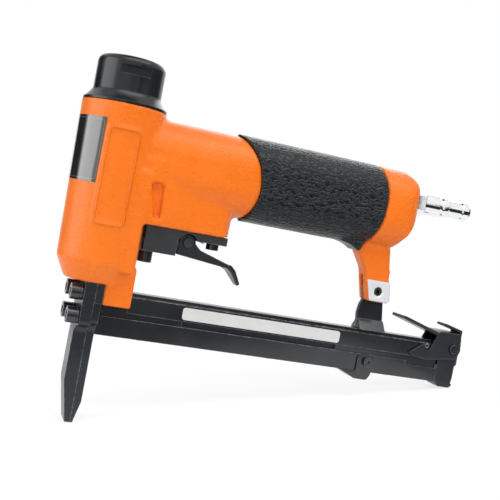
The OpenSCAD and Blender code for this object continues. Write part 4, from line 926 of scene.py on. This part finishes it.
def touch_angle(leg, sign):
    """Angle at which a straight leg touches the turns, above or below."""
    return math.atan2(leg.z, leg.x) + sign * math.acos(TURN_R / leg.length)


start = touch_angle(LEG_UP, 1)
stop = touch_angle(LEG_DOWN, -1)
turns = 3 + (stop - start) / (2 * math.pi)
side = Vector((0, 1, 0))
radial = Vector((math.cos(start), 0, math.sin(start)))
centre = PIVOT - side * RISE / 2
shape = bmesh.new()
section = ring(shape, centre + radial * TURN_R, radial, side, TRIGGER_WIRE_R)
turn_wire(shape, section, centre, -side, turns, -RISE, 32)


def draw_out(shape, section, tip):
    """Draws an open end of the wire out along a straight line."""
    edges = [e for e in section if isinstance(e, bmesh.types.BMEdge)]
    made = bmesh.ops.extrude_edge_only(shape, edges=edges)["geom"]
    verts = [v for v in made if isinstance(v, bmesh.types.BMVert)]
    middle = sum((v.co for v in verts), Vector()) / len(verts)
    bmesh.ops.translate(shape, verts=verts, vec=tip - middle)


def finish_wire(name, shape, body):
    """Closes the open ends of the wire and makes a piece of it."""
    bmesh.ops.holes_fill(shape, edges=shape.edges, sides=12)
    bmesh.ops.recalc_face_normals(shape, faces=shape.faces)
    return make_piece(name, shape, "trigger_spring", smooth=60, body=body)


draw_out(shape, section, PIVOT + LEG_UP - side * RISE / 2)
finish_wire("trigger_spring_wire", shape, "frame")
shape = bmesh.new()
radial = Vector((math.cos(stop), 0, math.sin(stop)))
section = ring(shape, PIVOT + side * RISE / 2 + radial * TURN_R, radial, side, TRIGGER_WIRE_R)
draw_out(shape, section, PIVOT + LEG_DOWN + side * RISE / 2)
finish_wire("trigger_spring_leg", shape, "trigger")
print("trigger spring turns:", round(turns, 2))

# %% [markdown]
# ## Softened metal edges
# Pressed sheet, turned bars and milled blocks all leave the workshop with broken edges, and those thin
# rounds catch the light. Each solid is copied, its flat faces are joined up, and a small bevel is cut
# along every edge that turns by more than thirty degrees. The width follows how the piece is made.
# Weighted normals let the large faces decide the shading, so flats stay flat beside their rounds.


# %% Edge rounding
SHARP_TURN = math.radians(30)
FLAT_TURN = math.radians(0.8)
WIDTH_SHARES = (1.0, 0.6, 0.35, 0.2)
BOX_SLACK = 2e-5


def is_sharp(edge):
    """True where the two faces at an edge turn away from each other by a sharp angle."""
    return len(edge.link_faces) == 2 and edge.calc_face_angle(0.0) > SHARP_TURN


def rounded(node, width):
    """Rounds the sharp edges of a copy of a solid by a width in millimetres, less if it swells."""
    lo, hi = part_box(node)
    for share in WIDTH_SHARES:
        shape = from_node(node)
        bmesh.ops.dissolve_limit(shape, angle_limit=FLAT_TURN, use_dissolve_boundaries=False,
                                 verts=shape.verts, edges=shape.edges)
        sharp = [e for e in shape.edges if is_sharp(e)]
        bmesh.ops.bevel(shape, geom=sharp, offset=width * share * MM, offset_type="OFFSET",
                        affect="EDGES", segments=2, profile=0.5, material=-1, clamp_overlap=True)
        bmesh.ops.recalc_face_normals(shape, faces=shape.faces)
        if all(lo[i] - BOX_SLACK < v.co[i] < hi[i] + BOX_SLACK for v in shape.verts for i in range(3)):
            print(node, "edges:", len(sharp), "width:", width * share)
            piece = make_piece(node + "_soft", shape, node)
            piece.modifiers.new("flat_faces_first", "WEIGHTED_NORMAL").keep_sharp = True
            return
        shape.free()
    print(node, "kept sharp")


SOFT_EDGES = {
    "head_cap": 0.6, "nose_front_plate": 0.4, "nose_rear_plate": 0.4, "nose_screws": 0.25,
    "nose_washers": 0.12, "trigger_bracket": 0.5, "bracket_screw": 0.25, "trigger_pin": 0.2,
    "trigger_clip": 0.1, "valve_stem": 0.25, "rear_cover": 0.3, "rear_cover_screw": 0.2,
    "air_plug": 0.4, "fixed_channel": 0.35, "catch_pin": 0.2, "rear_bracket": 0.4,
    "leg_bolt": 0.25, "sliding_channel": 0.35, "latch_pin": 0.2, "clip_screw": 0.2,
    "pusher": 0.3, "spring_seat": 0.3, "guide_rod": 0.3, "staple_core": 0.2, "core_rivets": 0.15,
}
for node, width in SOFT_EDGES.items():
    rounded(node, width)

# %% [markdown]
# Folded sheet and small castings have bends that a bevel can't follow. Those pieces are rebuilt as fine
# nets and relaxed, which rounds every corner a little and keeps the flats.

# %% Soft bends
BEND_VOXEL = 0.3 * MM
BEND_RELAX = 10
for node in ("latch_lever", "pull_clip", "trigger", "end_cap"):
    bent = even_mesh(from_node(node), BEND_VOXEL)
    relax(bent, bent.verts, BEND_RELAX)
    print(node, "faces:", len(bent.faces))
    make_piece(node + "_soft", bent, node, smooth=60)
